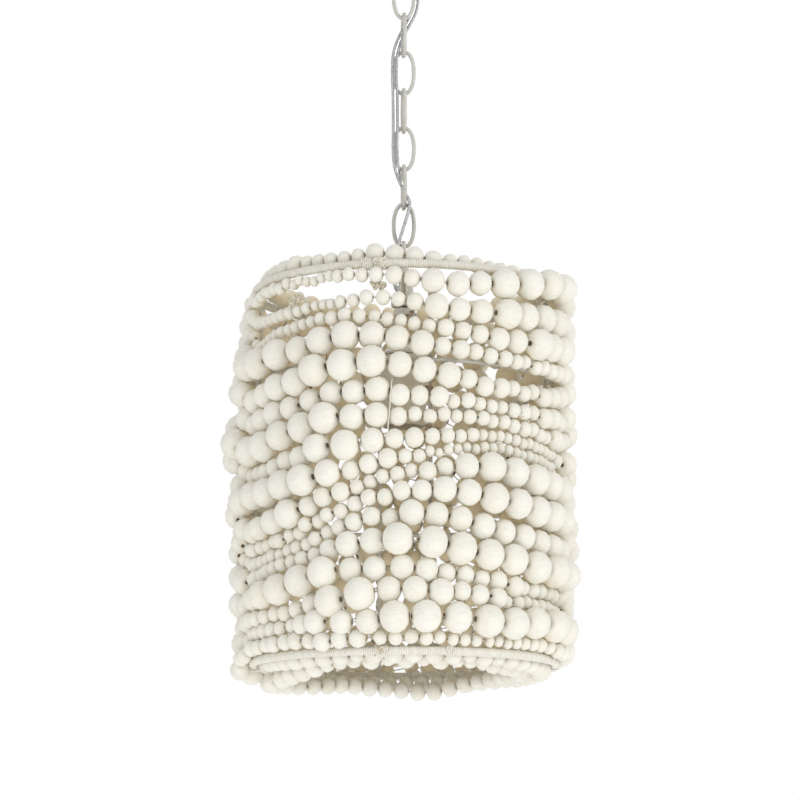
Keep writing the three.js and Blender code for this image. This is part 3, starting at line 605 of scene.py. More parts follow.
FIT = 0.3
WIRE = 1.7
RING = 127
RING_BAND = 3.8
FRAME_HEIGHT = 317
LINK_WIDTH, LINK_LENGTH, LINKS = 21, 41.2, 7
LINK_TURNS = (3, 97, -4, 97, 2, 97, -2)     # degrees that each link is turned
LOOP, LOOP_WIRE = 8.6, 1.9
FIRST_LINK, LINK_PITCH = -65.0, 34.1
TOP_RING, BOTTOM_RING = -331.15, -648.15
BAR, BAR_WIRE = -337.2, 2.6
HOOPS = (0.749, 0.396)      # heights, as shares of the frame's
UPRIGHTS = (-80, 10, 100, 190)
SHADE_LOOP = -293.2
CANOPY_LOOP = -41.4


def front(angle, radius, height):
    """A place in metres by its angle from the front in degrees, and its radius and height
    in millimetres."""
    turn = math.radians(angle)
    return (radius * math.sin(turn) * MM, -radius * math.cos(turn) * MM, height * MM)


def circle(radius, height, count=160):
    return [front(360 * i / count, radius, height) for i in range(count)]


def wire(name, points, closed, radius=WIRE, sides=16, finish=PAINT):
    return grow(name, points, loop_edges(len(points), closed), ROUND_WIRE,
        {"Radius": radius * MM, "Sides": sides, "Finish": finish})


# The flat cord is woven down through the chain. Millimetres, with the angle from +X
# towards +Y that its wide side faces.

CORD_WIDTH, CORD_THICK = 6.2, 3.0
CORD_STEP = 0.75            # from one section to the next
CORD_CUT = 0.04             # left open on each side of a cut between two stretches
STRAND_RADIUS, STRAND_OUT = 1.25, 1.75      # and how far off the middle a conductor lies
CORD_ROUTE = [
    (0, 20, -0.5, 0), (0, 19.4, -5, 0), (0, 15.5, -8.4, 0), (0, 8, -8.9, 0),
    (0, 2.4, -10.5, 0), (0, 0, -16, 0), (0, 0, -26, 0), (0.1, 0.2, -35, 0), (2, 3, -41, 0),
    (5.6, 4.5, -47, 0), (9.4, 5, -55, 0), (10.6, 4.6, -66.7, 0), (9, 4.3, -76, 0),
    (5.4, 3.8, -84.5, 0), (0, 0.4, -95.8, 0), (-5.1, -3, -108.5, 0), (-7.6, -4.2, -119.4, 0),
    (-8.1, -4.2, -134.7, 0), (-7.6, -4.1, -152.7, 0),
    (-7.3, -4.1, -184.1, 0), (-7.5, -4.3, -202, 4), (-6.8, -5.2, -215.5, 16),
    (-5.8, -4.6, -221.5, 34), (-3.6, -2.4, -229.5, 64), (-0.8, -2.2, -237.5, 84),
    (2.2, -3.4, -243.8, 90), (4.5, -4.9, -248.4, 90), (5, -5.6, -253, 90),
    (1.1, -5.8, -268.7, 90), (-3.6, -5.8, -284, 90), (-5.4, -5, -292, 90),
    (-7.4, -2.8, -302, 90), (-8.6, -0.8, -310.5, 90), (-8.6, 0, -317.5, 90),
    (-7.6, 0, -322.2, 90), (-6.4, 0, -325.6, 90), (-3.3, 0, -329.1, 90),
    (-0.7, 0, -331.4, 90), (0, 0, -334.6, 90), (0, 0, -383.5, 90)]


def cord_line():
    """Even places along the route, by a centripetal spline, with the facing at each."""
    knots = np.array([p[:3] for p in CORD_ROUTE], float)
    facing = np.array([p[3] for p in CORD_ROUTE], float)
    ends = np.vstack([2 * knots[0] - knots[1], knots, 2 * knots[-1] - knots[-2]])
    fine, turn = [], []
    for i in range(len(knots) - 1):
        p0, p1, p2, p3 = ends[i:i + 4]
        d0, d1, d2 = (max(np.linalg.norm(b - a) ** 0.5, 1e-4)
            for a, b in ((p0, p1), (p1, p2), (p2, p3)))
        t1 = ((p1 - p0) / d0 - (p2 - p0) / (d0 + d1) + (p2 - p1) / d1) * d1
        t2 = ((p2 - p1) / d1 - (p3 - p1) / (d1 + d2) + (p3 - p2) / d2) * d1
        for t in np.linspace(0, 1, 40, endpoint=i == len(knots) - 2):
            fine.append(p1 + t1 * t + (3 * (p2 - p1) - 2 * t1 - t2) * t ** 2
                + (2 * (p1 - p2) + t1 + t2) * t ** 3)
            turn.append(facing[i] + (facing[i + 1] - facing[i]) * t)
    fine, turn = np.array(fine), np.array(turn)
    run = np.concatenate([[0], np.cumsum(np.linalg.norm(np.diff(fine, axis=0), axis=1))])
    return fine, turn, run


def jacket_ring(middle, wide, thin, count=22):
    """A section of the jacket, which has a shallow groove along both flat sides."""
    ring = []
    for i in range(count):
        a = 2 * math.pi * (i + 0.5) / count
        x = max(-1, min(1, 3 * math.cos(a))) * (CORD_WIDTH - CORD_THICK) / 2 \
            + CORD_THICK / 2 * math.cos(a)
        y = CORD_THICK / 2 * math.sin(a) * (1 - 0.2 * math.exp(-(x / 0.8) ** 2))
        ring.append((middle + wide * x + thin * y) * MM)
    return ring


def strand_ring(core, wide, thin, twist, count=14):
    """A section of a conductor, whose seven strands turn round it."""
    ring = []
    for i in range(count):
        a = 2 * math.pi * i / count
        out = STRAND_RADIUS + 0.16 * abs(math.sin(3.5 * a + twist))
        ring.append((core + wide * out * math.cos(a) + thin * out * math.sin(a)) * MM)
    return ring


def cord_pieces():
    """Eight stretches, each from the middle of one link to the middle of the next, so that
    each spans one joint. Two stranded conductors lie in a clear flat jacket."""
    fine, turn, run = cord_line()
    along = np.gradient(fine, axis=0)
    along /= np.linalg.norm(along, axis=1)[:, None]
    cuts = [0.0]
    for k in range(LINKS):
        cuts.append(run[np.argmax(fine[:, 2] < FIRST_LINK - k * LINK_PITCH)])
    cuts.append(run[-1])
    for k in range(LINKS + 1):
        low = cuts[k] + (CORD_CUT if k else 0)
        high = cuts[k + 1] - (CORD_CUT if k < LINKS else 0)
        jacket, left, right = [], [], []
        for stop in np.linspace(low, high, int((high - low) / CORD_STEP) + 2):
            middle = np.array([np.interp(stop, run, fine[:, c]) for c in range(3)])
            ahead = np.array([np.interp(stop, run, along[:, c]) for c in range(3)])
            ahead /= np.linalg.norm(ahead)
            angle = math.radians(np.interp(stop, run, turn))
            wide = np.array([math.cos(angle), math.sin(angle), 0])
            wide -= ahead * wide.dot(ahead)
            wide /= np.linalg.norm(wide)
            thin = np.cross(ahead, wide)
            jacket.append(jacket_ring(middle, wide, thin))
            for side, rings in ((-1, left), (1, right)):
                rings.append(strand_ring(middle + wide * side * STRAND_OUT, wide, thin,
                    side * stop * 0.65))
        skins = [skin(rings) for rings in (jacket, left, right)]
        points, faces = together(*skins)
        which = [0] * len(skins[0][1]) + [1] * (len(skins[1][1]) + len(skins[2][1]))
        piece = new_piece(f"flat_cord_{k + 1}", points, faces, [JACKET, STRAND], which)
        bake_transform(piece)
        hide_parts(f"cord_{k + 1}")


cord_pieces()


# Chain: links alternately across and along the view, the canopy's loop and the shade's.

def link_line(steps=44, power=2.2):
    """The middle of a link's wire, in the XZ plane, round its own middle."""
    wide, long = LINK_WIDTH / 2 - WIRE, LINK_LENGTH / 2 - WIRE
    line = []
    for i in range(steps):
        a = 2 * math.pi * i / steps
        bow = (abs(math.cos(a)) ** power + abs(math.sin(a)) ** power) ** (-1 / power)
        line.append((wide * bow * math.cos(a), long * bow * math.sin(a)))
    return line


def chain():
    for i in range(LINKS):
        middle = FIRST_LINK - i * LINK_PITCH
        a = math.radians(LINK_TURNS[i])
        line = [(x * math.cos(a), x * math.sin(a), middle + z) for x, z in link_line()]
        piece = wire(f"link_wire_{i + 1}", [tuple(c * MM for c in p) for p in line], True,
            sides=18)
        dress(piece, f"link_{i + 1}", "paint", f"chain_link_{i + 1}")


def eye(middle, from_degrees, to_degrees, steps=40):
    """A loop in the YZ plane from one angle to another, both from straight down."""
    line = []
    for i in range(steps + 1):
        a = math.radians(from_degrees + (to_degrees - from_degrees) * i / steps)
        line.append((0, LOOP * math.sin(a) * MM, (middle - LOOP * math.cos(a)) * MM))
    return line


def mesh_of(piece):
    """Points and faces of a piece that was made only to be joined to another."""
    points = [tuple(v.co) for v in piece.data.vertices]
    faces = [tuple(p.vertices) for p in piece.data.polygons]
    bpy.data.objects.remove(piece)
    return points, faces


def hexagon(radius, turn):
    """How far out the flats of a hexagon lie, whose corners are at a radius."""
    return radius * math.cos(math.pi / 6) / math.cos(turn % (math.pi / 3) - math.pi / 6)


def hex_nut(name, radius, low, high, hole, body):
    """A chamfered hexagon nut."""
    chamfer, lead = 0.7, 0.35
    narrow = radius * 0.9
    outline = [(hole, low + lead), (hole + 0.5, low), (narrow, low), (radius, low + chamfer),
        (radius, high - chamfer), (narrow, high), (hole + 0.5, high), (hole, high - lead)]
    turned_piece(name + "_hex", outline, 48, STEEL, body, "steel", name, sharp=25,
        radius_at=lambda r, h, turn: min(r, hexagon(radius, turn)) if r > hole + 0.6 else r)


def canopy_pieces():
    floor, flat, bend, wall, hole = -25.4, 48, 14, 1.2, 5.3
    corner = lambda reach: [(flat + reach * math.sin(a), floor + bend - reach * math.cos(a))
        for a in np.linspace(0, math.pi / 2, 13)]
    outline = [(hole, floor), *corner(bend), (62, -1.1), (61.8, -0.5), (61.4, -0.3),
        (61.0, -0.5), (60.8, -1.0), *corner(bend - wall)[::-1], (hole, floor + wall)]
    turned_piece("canopy_dome", outline, 128, PAINT, "ceiling_mount", "paint", "canopy")
    collar = [(3.9, -34.7), (8.6, -34.7), (9.6, -34.3), (10.2, -33.3), (10.5, -32.2),
        (10.5, -27.4), (10.2, -26.4), (9.6, -25.7), (hole, -25.7), (hole, -32.2), (3.9, -32.2)]
    feet = wire("loop_wire", eye(CANOPY_LOOP, -145, 145), False, LOOP_WIRE)
    piece = new_piece("canopy_eye", *together(turned(collar), mesh_of(feet)), [PAINT])
    dress(soften(piece), "ceiling_mount", "paint", "canopy_loop")
    hex_nut("lock_nut", 8.5, -23.9, -20.4, hole, "ceiling_mount")
    hex_nut("coupling_nut", 8.7, BAR - 12, BAR - 6, 5.2, "shade")


def shade_eye():
    """The shade's loop on its neck, over the finial that is slotted for the cord."""
    ring = wire("ring", eye(SHADE_LOOP, 0, 348.75, 31), True, LOOP_WIRE)
    neck = turned(eased([(0, -324.6), (4.2, -324.6), (4.2, -302.6), (3.0, -300.6),
        (0, -300.6)], 0.2), 40)
    low, high, wide, bore, lid = BAR + 4.8, BAR + 13.8, 8, 3.9, 1.6
    cap = new_piece("cap", *turned([(0, low), (7.4, low), (wide, low + 0.8),
        (wide, high - 0.8), (7.2, high), (0, high)], 48,
        lambda r, h, turn: min(r, hexagon(wide, turn))), [PAINT])
    cutters = [new_piece("bore", *turned([(0, low - 1), (bore, low - 1), (bore, high - lid),
        (0, high - lid)], 40), [PAINT])]
    for x0, x1, z0, z1 in ((-9, 0, low - 1, high - lid), (-12.2, -4.25, low + 3, high + 1)):
        box = [(x * MM, y * MM, z * MM) for z in (z0, z1) for x, y in ((x0, -bore),
            (x1, -bore), (x1, bore), (x0, bore))]
        cutters.append(new_piece("slot", box, [(3, 2, 1, 0), (4, 5, 6, 7), (0, 1, 5, 4),
            (1, 2, 6, 5), (2, 3, 7, 6), (3, 0, 4, 7)], [PAINT], smooth=False))
    for cutter in cutters:
        modifier = cap.modifiers.new("cut", "BOOLEAN")
        modifier.operation, modifier.solver, modifier.object = "DIFFERENCE", "EXACT", cutter
        graph = bpy.context.evaluated_depsgraph_get()
        cut = bpy.data.meshes.new_from_object(cap.evaluated_get(graph))
        cap.modifiers.remove(modifier)
        cap.data = cut
        bpy.data.objects.remove(cutter)
    piece = new_piece("shade_eye", *together(mesh_of(ring), neck, mesh_of(cap)), [PAINT])
    dress(soften(piece), "shade", "paint", "shade_loop")


chain()
canopy_pieces()
shade_eye()


# Drum frame: the rings wound with twine, the hoops, the uprights and the cross bar.

def drum_frame():
    for name, height in (("top_ring", TOP_RING), ("bottom_ring", BOTTOM_RING)):
        piece = grow(name + "_winding", circle(RING, height, 180), loop_edges(180), WINDING,
            {"Core": 3.05 * MM, "Twine": 1.3 * MM, "Turns": 420, "Steps": 8, "Sides": 12,
            "Unevenness": 0.25, "Finish": TWINE})
        dress(piece, "shade", "twine", name)
    for name, share in zip(("hoop_upper", "hoop_lower"), HOOPS):
        piece = wire(name + "_wire", circle(RING, BOTTOM_RING + share * FRAME_HEIGHT), True,
            sides=12)
        dress(piece, "shade", "paint", name)
    inner, into_ring = RING - 2 * WIRE - FIT, 2.95
    for i, angle in enumerate(UPRIGHTS):
        heights = np.linspace(BOTTOM_RING + into_ring, TOP_RING - into_ring, 9)
        piece = wire(f"upright_{i + 1}_wire", [front(angle, inner, z) for z in heights], False,
            sides=12)
        dress(soften(piece), "shade", "paint", f"upright_{i + 1}")
    halves = []
    for side in (-1, 1):
        line = [(0, side * y * MM, BAR * MM) for y in (7, 50, 100, RING)]
        halves.append(mesh_of(wire("bar", line[::side], False, BAR_WIRE, 20)))
    hub = turned([(5.2, BAR - 4.5), (10, BAR - 4.5), (11, BAR - 3.5), (11, BAR + 3.5),
        (10, BAR + 4.5), (5.2, BAR + 4.5)])
    piece = new_piece("cross_bar_wire", *together(*halves, hub), [PAINT])
    dress(soften(piece), "shade", "paint", "cross_bar")


def in_thread(pitch, depth, height, turn):
    """How deep a screw thread is cut at a height and turn."""
    place = (height / pitch - turn / (2 * math.pi)) % 1
    return depth * (0.5 + 0.5 * math.cos(2 * math.pi * place))


def steps(low, high, step):
    return [*np.arange(low, high, step), high]


def lamp_holder():
    """Threaded stem, cap, card sleeve, porcelain and the screw shell under it."""
    low, high = -379.7, -332.7
    outline = [(3.9, low), (4.5, low), *((4.9, z) for z in steps(low + 0.3, high - 0.3, 0.3)),
        (4.5, high), (3.9, high)]
    turned_piece("stem_tube", outline, 32, BRASS, "shade", "brass", "stem",
        lambda r, h, turn: r - in_thread(1.25, 0.35, h, turn) if r > 4.8 else r)
    top = BAR - 38
    cap = [(19.8, top - 9), (19.8, top - 7.4), (18.9, top - 6.4), (14.6, top - 3.3),
        (9.6, top - 0.7), (8.1, top), (5.2, top), (5.2, top - 1.6), (7.6, top - 1.6),
        (9.0, top - 2.2), (13.8, top - 4.9), (17.8, top - 7.8), (18.2, top - 8.4),
        (18.2, top - 9)]
    turned_piece("socket_cap_cup", cap, 96, PAINT, "shade", "paint", "socket_cap")
    top -= 9 + FIT
    under, wall = top - 61, 1.6
    sleeve = [(18.8, under), (18.8, top - 0.5), (18.3, top), (12.4, top), (12.4, top - wall),
        (17.2, top - wall), (17.2, under)]
    turned_piece("sleeve_tube", sleeve, 112, CARD, "shade", "sleeve_card", "socket_sleeve",
        lambda r, h, turn: r - (0.3 if r > 18.5 and 0.55 < turn < 0.62 else 0.0))
    top -= wall + FIT
    under = top - 8
    block = eased([(0, under), (16.9, under), (16.9, top), (0, top)], 0.7)
    turned_piece("insulator_block", block, 96, PORCELAIN, "shade", "porcelain",
        "socket_insulator")
    top = under - FIT
    under = top - 27
    heights = steps(under, top - 1.2, 0.6)
    outline = [*((13.6, z) for z in heights), (13.6, top), (13.0, top),
        *((12.95, z) for z in heights[::-1])]

    def rolled(radius, height, turn):
        ease = min(1.0, (height - under) / 3.0, (top - 1.8 - height) / 3.0)
        return radius - max(0.0, ease) * in_thread(3.6, 0.5, height, turn)

    turned_piece("screw_shell", outline, 64, BRASS, "shade", "brass", "socket_shell", rolled)
    contact = [(0, top - 2), (3.9, top - 2), (4.5, top - 1.5), (4.5, top), (0, top)]
    turned_piece("centre_contact", contact, 40, BRASS, "shade", "brass", "socket_contact")


drum_frame()
lamp_holder()

for name, finish in (("ceiling_plate", STEEL), ("plate_screw_left", STEEL),
        ("plate_screw_right", STEEL), ("canopy_nipple", BRASS)):
    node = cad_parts[name]
    node.data.materials.clear()
    node.data.materials.append(finish)


# Beads.

BEAD_SIZE = {"b": 8.5, "c": 10.5, "d": 12.5, "e": 16, "f": 20.5, "g": 25}
REST = 125.2            # from the axis to the inner side of a row that lies on the uprights
SEEN_TO = 74            # degrees from the front, up to which the beads are in view
BACK_SIZE = 1.07        # of a bead round the back, where the rows lie close
UNEVEN = (0.995, 1.035)     # least and most of a bead's size
# Angles round the drum, and how far the lowest row sags below its ring at each.
SAG = ([0, 200, 235, 270, 300, 360], [0, 0, 7, 9, 0, 0])

# Bead rows, from the top one down: by letters of BEAD_SIZE the few beads past the left and
# the right end of the seen stretch and the pattern round the back, and then the seen beads
# from left to right, each with its angle from the front in degrees, its height above the
# bottom ring's wire and its size, both in millimetres.
ROWS = [
    ("bbbcccdd", "ffeee", "defgfedc", [(-70.5, 304, 9), (-67, 305.5, 8.5), (-63.5, 306.5, 8),
        (-60, 306.5, 9), (-56, 306.5, 9.5), (-52, 306.5, 9.5), (-48, 308, 8.5), (-45, 308, 7.5),
        (-41.5, 309, 7.5), (-38.5, 308, 7.5), (-35, 307.5, 7.5), (-32, 308, 7.5), (-28.5, 309.5, 8),
        (-25, 309, 10), (-20.5, 310, 10.5), (-15.5, 308, 11.5), (-10, 308, 13),
        (-3.5, 306, 15), (3, 303.5, 14.5), (10, 300, 19.5), (19, 299.5, 20), (27.5, 302, 19.5),
        (37, 303.5, 24.5), (47.5, 307.5, 25.5), (58, 311.5, 25), (68.5, 312.5, 25)]),
    ("ccddeee", "feefe", "eddefgfe", [(-71, 284, 9.5), (-67, 283, 9.5), (-63, 282, 9),
        (-59, 282, 8.5), (-55, 282.5, 8.5), (-51, 283, 9.5), (-47, 283, 10), (-42.5, 283.5, 9),
        (-38.5, 284.5, 8.5), (-34.5, 286, 7.5), (-31, 286, 7.5), (-27.5, 285.5, 8),
        (-23.5, 286.5, 10), (-18.5, 286.5, 10.5), (-13.5, 289, 12.5), (-7.5, 288, 12.5),
        (-2, 286.5, 12.5), (4, 284, 14.5), (11, 279.5, 20.5), (19.5, 278, 19), (28, 277, 19.5),
        (37, 276.5, 24), (47, 278, 23), (57, 280.5, 23.5), (66.5, 281.5, 23.5)]),
    ("bddeeee", "feeef", "ffgffeee", [(-73.5, 261, 8), (-70, 261, 8), (-66.5, 262, 8.5),
        (-62.5, 263, 8.5), (-59, 265.5, 8.5), (-55.5, 267.5, 8.5), (-51.5, 268.5, 9),
        (-47.5, 269.5, 8.5), (-44, 270, 8.5), (-40, 271.5, 8.5), (-36, 272.5, 9),
        (-31.5, 274, 10.5), (-27, 273, 11.5), (-21.5, 275, 12.5), (-16, 273, 12),
        (-10.5, 272, 10.5), (-6, 270, 10.5), (-1, 268, 10.5), (3.5, 266, 11), (9, 265, 12),
        (15, 263, 14.5), (21, 261.5, 14.5), (27.5, 259, 15.5), (35, 256.5, 18.5), (43, 256, 20),
        (52.5, 255.5, 25), (62.5, 257.5, 24), (72.5, 258, 23.5)]),
    ("feeef", "eeefee", "effgffee", [(-69, 244.5, 24.5), (-59, 242, 25), (-49, 247, 25),
        (-39, 249, 22.5), (-29.5, 252.5, 23.5), (-20, 255.5, 23.5), (-10.5, 255, 21),
        (-2, 253, 20), (6.5, 250, 20.5), (13.5, 247, 15.5), (20.5, 246, 15.5), (26.5, 244, 13),
        (32, 243.5, 13), (37.5, 241.5, 13.5), (43, 240, 12), (48, 240.5, 11), (53, 240, 12.5),
        (58.5, 239, 13), (64.5, 240, 13.5), (70.5, 241.5, 14.5)]),
    ("eefe", "feeff", "eeffgffe", [(-74.5, 217.5, 21), (-66, 214.5, 20), (-57.5, 216.5, 20),
        (-49, 219.5, 21.5), (-40, 223.5, 23), (-30.5, 227.5, 25.5), (-20.5, 230.5, 25),
        (-10.5, 232.5, 25), (-1, 231.5, 20.5), (7, 227, 20.5), (15.5, 222.5, 20.5),
        (23, 220.5, 16), (29.5, 217.5, 16), (36, 217, 16), (42, 217, 13), (48, 216.5, 13),
        (53.5, 217.5, 13), (59.5, 216, 16), (66.5, 217, 16.5), (73.5, 219.5, 18)]),
    ("feeee", "feefe", "eeffgffe", [(-67.5, 196.5, 17.5), (-59.5, 198, 19), (-51.5, 199.5, 20),
        (-43, 201.5, 19.5), (-34.5, 206.5, 19), (-26.5, 209.5, 19.5), (-18, 210.5, 20),
        (-9.5, 211.5, 20), (-1.5, 207, 17.5), (5.5, 206, 16), (12, 204.5, 16), (18, 203, 12),
        (23, 203, 13), (28, 200.5, 11.5), (32.5, 200, 11), (37.5, 200, 11), (42.5, 199.5, 12.5),
        (48, 200, 13), (53.5, 200, 12.5), (59.5, 198.5, 16.5), (66.5, 199, 16.5),
        (73.5, 199, 16.5)]),
    ("ggfef", "efee", "gffeeeff", [(-68, 173, 25), (-57.5, 173.5, 25), (-47.5, 178, 24.5),
        (-37.5, 184, 24.5), (-27.5, 188, 25), (-18, 190, 21), (-9.5, 191.5, 20), (-2, 190, 15),
        (4, 190.5, 12.5), (9, 190.5, 12), (14, 192, 11.5), (19, 192, 10.5), (24, 191.5, 12),
        (28.5, 191.5, 11.5), (33.5, 190, 10.5), (38, 189.5, 11.5), (43, 188, 11.5),
        (48, 185, 12.5), (53, 186, 11.5), (58, 185, 11.5), (63, 183, 11.5), (68.5, 182.5, 16),
        (75.5, 181.5, 15.5)]),
    ("eefef", "dfedee", "eddefgfe", [(-71, 153.5, 13.5), (-65, 153.5, 13.5), (-59, 153.5, 14.5),
        (-52.5, 155, 15.5), (-45.5, 158, 16.5), (-38, 157.5, 19.5), (-29.5, 163.5, 23),
        (-19.5, 166, 24.5), (-10.5, 169.5, 20), (-3, 170.5, 16), (4, 171.5, 16),
        (10, 172.5, 13.5), (15.5, 174, 12.5), (20.5, 174.5, 10.5), (25.5, 176, 11),
        (29.5, 176, 8.5), (33.5, 176.5, 8.5), (37, 176, 8.5), (40.5, 176.5, 8.5), (44.5, 175, 9),
        (48.5, 175.5, 8.5), (52.5, 175, 8.5), (56, 174, 8.5), (60, 173.5, 8.5),
        (63.5, 172.5, 8.5), (67, 172, 8.5), (71, 172, 8.5)]),
    ("feef", "bdeefe", "gffeeeff", [(-75, 133, 23.5), (-65.5, 133.5, 23), (-55.5, 134, 23),
        (-46, 136.5, 24.5), (-36, 140.5, 25), (-26.5, 145, 21.5), (-18.5, 147, 16),
        (-12, 151, 16), (-5.5, 153.5, 16), (0.5, 156, 12), (5.5, 158, 11), (9.5, 160.5, 8.5),
        (12.5, 161, 7.5), (16, 162.5, 8.5), (19.5, 164, 8), (23, 165, 8), (26.5, 165.5, 8),
        (30, 167, 8.5), (34, 167, 8), (37.5, 168.5, 8), (41, 166.5, 8.5), (44.5, 166.5, 8.5),
        (48.5, 165.5, 8), (52, 164, 8.5), (56, 163.5, 8.5), (59.5, 163, 8.5), (63.5, 162.5, 8.5),
        (67, 161.5, 8.5), (70.5, 161, 8.5)]),
    ("ffeee", "eeffe", "ffeedccdee", [(-74.5, 103.5, 18.5), (-66.5, 103.5, 18), (-59, 104.5, 18.5),
        (-51, 108, 20.5), (-42.5, 114, 23), (-35, 120, 16.5), (-29, 124.5, 16),
        (-22.5, 129.5, 15.5), (-17, 132.5, 12.5), (-12.5, 136, 11.5), (-7.5, 139, 11.5),
        (-2.5, 140.5, 12.5), (2, 144, 11.5), (8, 144.5, 15.5), (14, 147, 15),
        (21.5, 148.5, 20.5), (30.5, 149, 24), (41, 147, 24.5), (51, 143, 25.5), (61.5, 141, 24),
        (71.5, 140, 23.5)]),
    ("edeef", "eefef", "gfedcdef", [(-74, 89.5, 11.5), (-69, 89.5, 11.5), (-64, 90.5, 11.5),
        (-59, 91.5, 11), (-54.5, 93, 11), (-49.5, 93, 12), (-44.5, 96, 11.5), (-40, 98.5, 12),
        (-36, 104, 12), (-31.5, 106, 12), (-27.5, 110.5, 12), (-22.5, 113.5, 13),
        (-17.5, 118.5, 13.5), (-12.5, 121.5, 13.5), (-7, 124, 13.5), (-1, 126.5, 16),
        (5.5, 128, 16.5), (13, 128, 20.5), (21.5, 127, 21), (31, 124.5, 24.5), (41, 122.5, 24.5),
        (51, 118.5, 24.5), (61.5, 117.5, 24), (71, 117, 23.5)]),
    ("cdeefe", "ffeee", "dccdeffe", [(-73, 80, 11), (-68.5, 79.5, 11), (-63.5, 80, 10),
        (-59, 80.5, 10), (-54.5, 81, 10.5), (-50, 82, 10.5), (-45.5, 83.5, 10.5),
        (-41.5, 86, 10.5), (-37, 88.5, 11), (-32.5, 91, 11.5), (-28, 95.5, 11.5),
        (-23.5, 99, 12.5), (-18, 103, 15.5), (-11.5, 106.5, 15.5), (-5, 107, 15.5),
        (2, 109, 20.5), (10.5, 109, 20.5), (19, 105, 20), (27.5, 100, 20.5), (36, 97, 20.5),
        (45, 94, 21), (54, 91.5, 21), (62.5, 90, 21), (71.5, 89, 20.5)]),
    ("ffeef", "feefe", "gedccddef", [(-73, 68, 11.5), (-68, 68.5, 11.5), (-63, 69.5, 11.5),
        (-58, 71.5, 11), (-53.5, 73, 11), (-48.5, 74.5, 10.5), (-44, 76, 11.5),
        (-38.5, 77.5, 12.5), (-33.5, 80, 13), (-27, 82.5, 16), (-19.5, 84, 20.5),
        (-11, 87.5, 20.5), (-1.5, 87, 25.5), (9, 84.5, 25), (19, 80.5, 25.5), (29.5, 77.5, 25),
        (40, 74.5, 25), (50.5, 72, 25.5), (61, 71, 26), (72, 71, 26.5)]),
    ("efeee", "edeef", "gfeeddef", [(-72.5, 49, 16), (-65, 48.5, 19), (-56.5, 49, 22),
        (-47, 51, 25), (-37, 57, 25), (-27, 61.5, 25), (-18, 63.5, 20), (-9.5, 64, 20),
        (-1, 65.5, 20), (7, 63, 19), (14, 60.5, 16), (21, 60, 16), (27.5, 57.5, 14.5),
        (34, 57, 16), (40.5, 54.5, 16), (47, 53.5, 13), (52.5, 53.5, 13), (58, 54, 12.5),
        (63.5, 53.5, 12.5), (69, 52.5, 13)]),
    ("edeeef", "eedee", "dcefedcd", [(-70, 31, 13), (-64, 31, 13), (-58.5, 31.5, 13),
        (-52.5, 33, 13), (-46.5, 33.5, 13.5), (-40.5, 34, 14), (-33.5, 37.5, 16),
        (-24.5, 38, 25), (-14, 43, 25.5), (-4.5, 48.5, 20), (4, 49, 21), (12.5, 47, 21),
        (20, 49, 16), (26.5, 46, 16), (33.5, 44.5, 16), (39, 42.5, 12.5), (44.5, 42, 12.5),
        (49.5, 42.5, 10.5), (54, 42.5, 10.5), (59, 42.5, 10.5), (63.5, 41.5, 11),
        (68.5, 40.5, 12), (74, 40.5, 12.5)]),
    ("deefee", "feefe", "fedcdegf", [(-71, 22.5, 11.5), (-66, 22.5, 12), (-60.5, 23, 12.5),
        (-55, 22.5, 12.5), (-49.5, 23, 12), (-44, 24, 12), (-38, 23.5, 15.5), (-30, 23, 19.5),
        (-21.5, 22, 19.5), (-12.5, 23, 19.5), (-3, 25.5, 25), (7.5, 27.5, 25), (18, 27, 25),
        (29, 25, 25.5), (39.5, 24, 25), (50, 26, 25.5), (61, 24, 25.5), (71.5, 23.5, 25.5)]),
    ("ddddee", "ddeeee", "deddcede", [(-70, 7.5, 13), (-64.5, 7.5, 12.5), (-59, 8.5, 12.5),
        (-53.5, 10, 13), (-47.5, 10, 13), (-41.5, 10, 14), (-35.5, 8.5, 13), (-29, 8.5, 15.5),
        (-22, 10.5, 15), (-15.5, 10.5, 15), (-9, 11.5, 12.5), (-3.5, 10.5, 12.5),
        (2, 11.5, 12.5), (7.5, 10.5, 11.5), (12.5, 11, 10.5), (17.5, 9.5, 10), (22, 9.5, 10),
        (27, 9, 10), (32, 9, 8.5), (36, 9.5, 8.5), (40, 8.5, 8.5), (44.5, 8.5, 9.5),
        (49, 8.5, 10), (54, 8.5, 10.5), (59, 8.5, 11.5), (64, 8, 12), (69.5, 7.5, 12.5)]),
]

# Strings inside the rings: the ring's height, the first bead's angle, the beads right and
# left of it and the fill, then how far inside the ring's wire they run and how far above
# it they hang, in millimetres at LOOP_ANGLES.
LOOP_ANGLES = [-150, -135, -120, -90, -70, -50, -27, -11, 4, 12, 27, 45, 90, 125, 150, 168]
INNER = [
    ("crown", TOP_RING, 4, "eeddddeeeeeee", "eedddddeeeeeed", "eddeed",
        [11.4, 11.4, 11.4, 11.4, 11.2, 11, 10.8, 10.6, 10.5, 10.5, 10.5, 10.5, 11.4, 11.4, 11.4,
            11.4],
        [6, 6, 6.2, 6.5, 8.2, 9.8, 8.6, 11, 8, 5.6, 5.2, 2, 2.5, 4.7, 5.5, 5.8]),
    ("lining", BOTTOM_RING, 4, "eeededeeeeee", "eedeeeeeeeee", "d",
        [8.5, 10.5, 12.6, 12.6, 12.5, 12.2, 12.4, 12.6, 12.6, 12.6, 12.5, 12.2, 11, 9.5, 8.5,
            8.5],
        [-7, -3.3, 0.5, -1, -2.5, -3, -2.5, -1, -0.8, -1, -1.5, -2.5, -5, -6.5, -7, -7]),
    ("fringe", BOTTOM_RING, 1, "ededddeeeee", "dedddeeeee", "d",
        [23.3, 23.1, 16, 13, 22, 25.5, 27.5, 28, 28, 28, 28, 28, 27.5, 24.5, 23.3, 21],
        [-9.9, -11.6, -14.2, -15.5, -13, -9, -5, -3.7, -3.5, -3.7, -4.2, -5, -7, -5.4, -9.9,
            -15.4]),
]

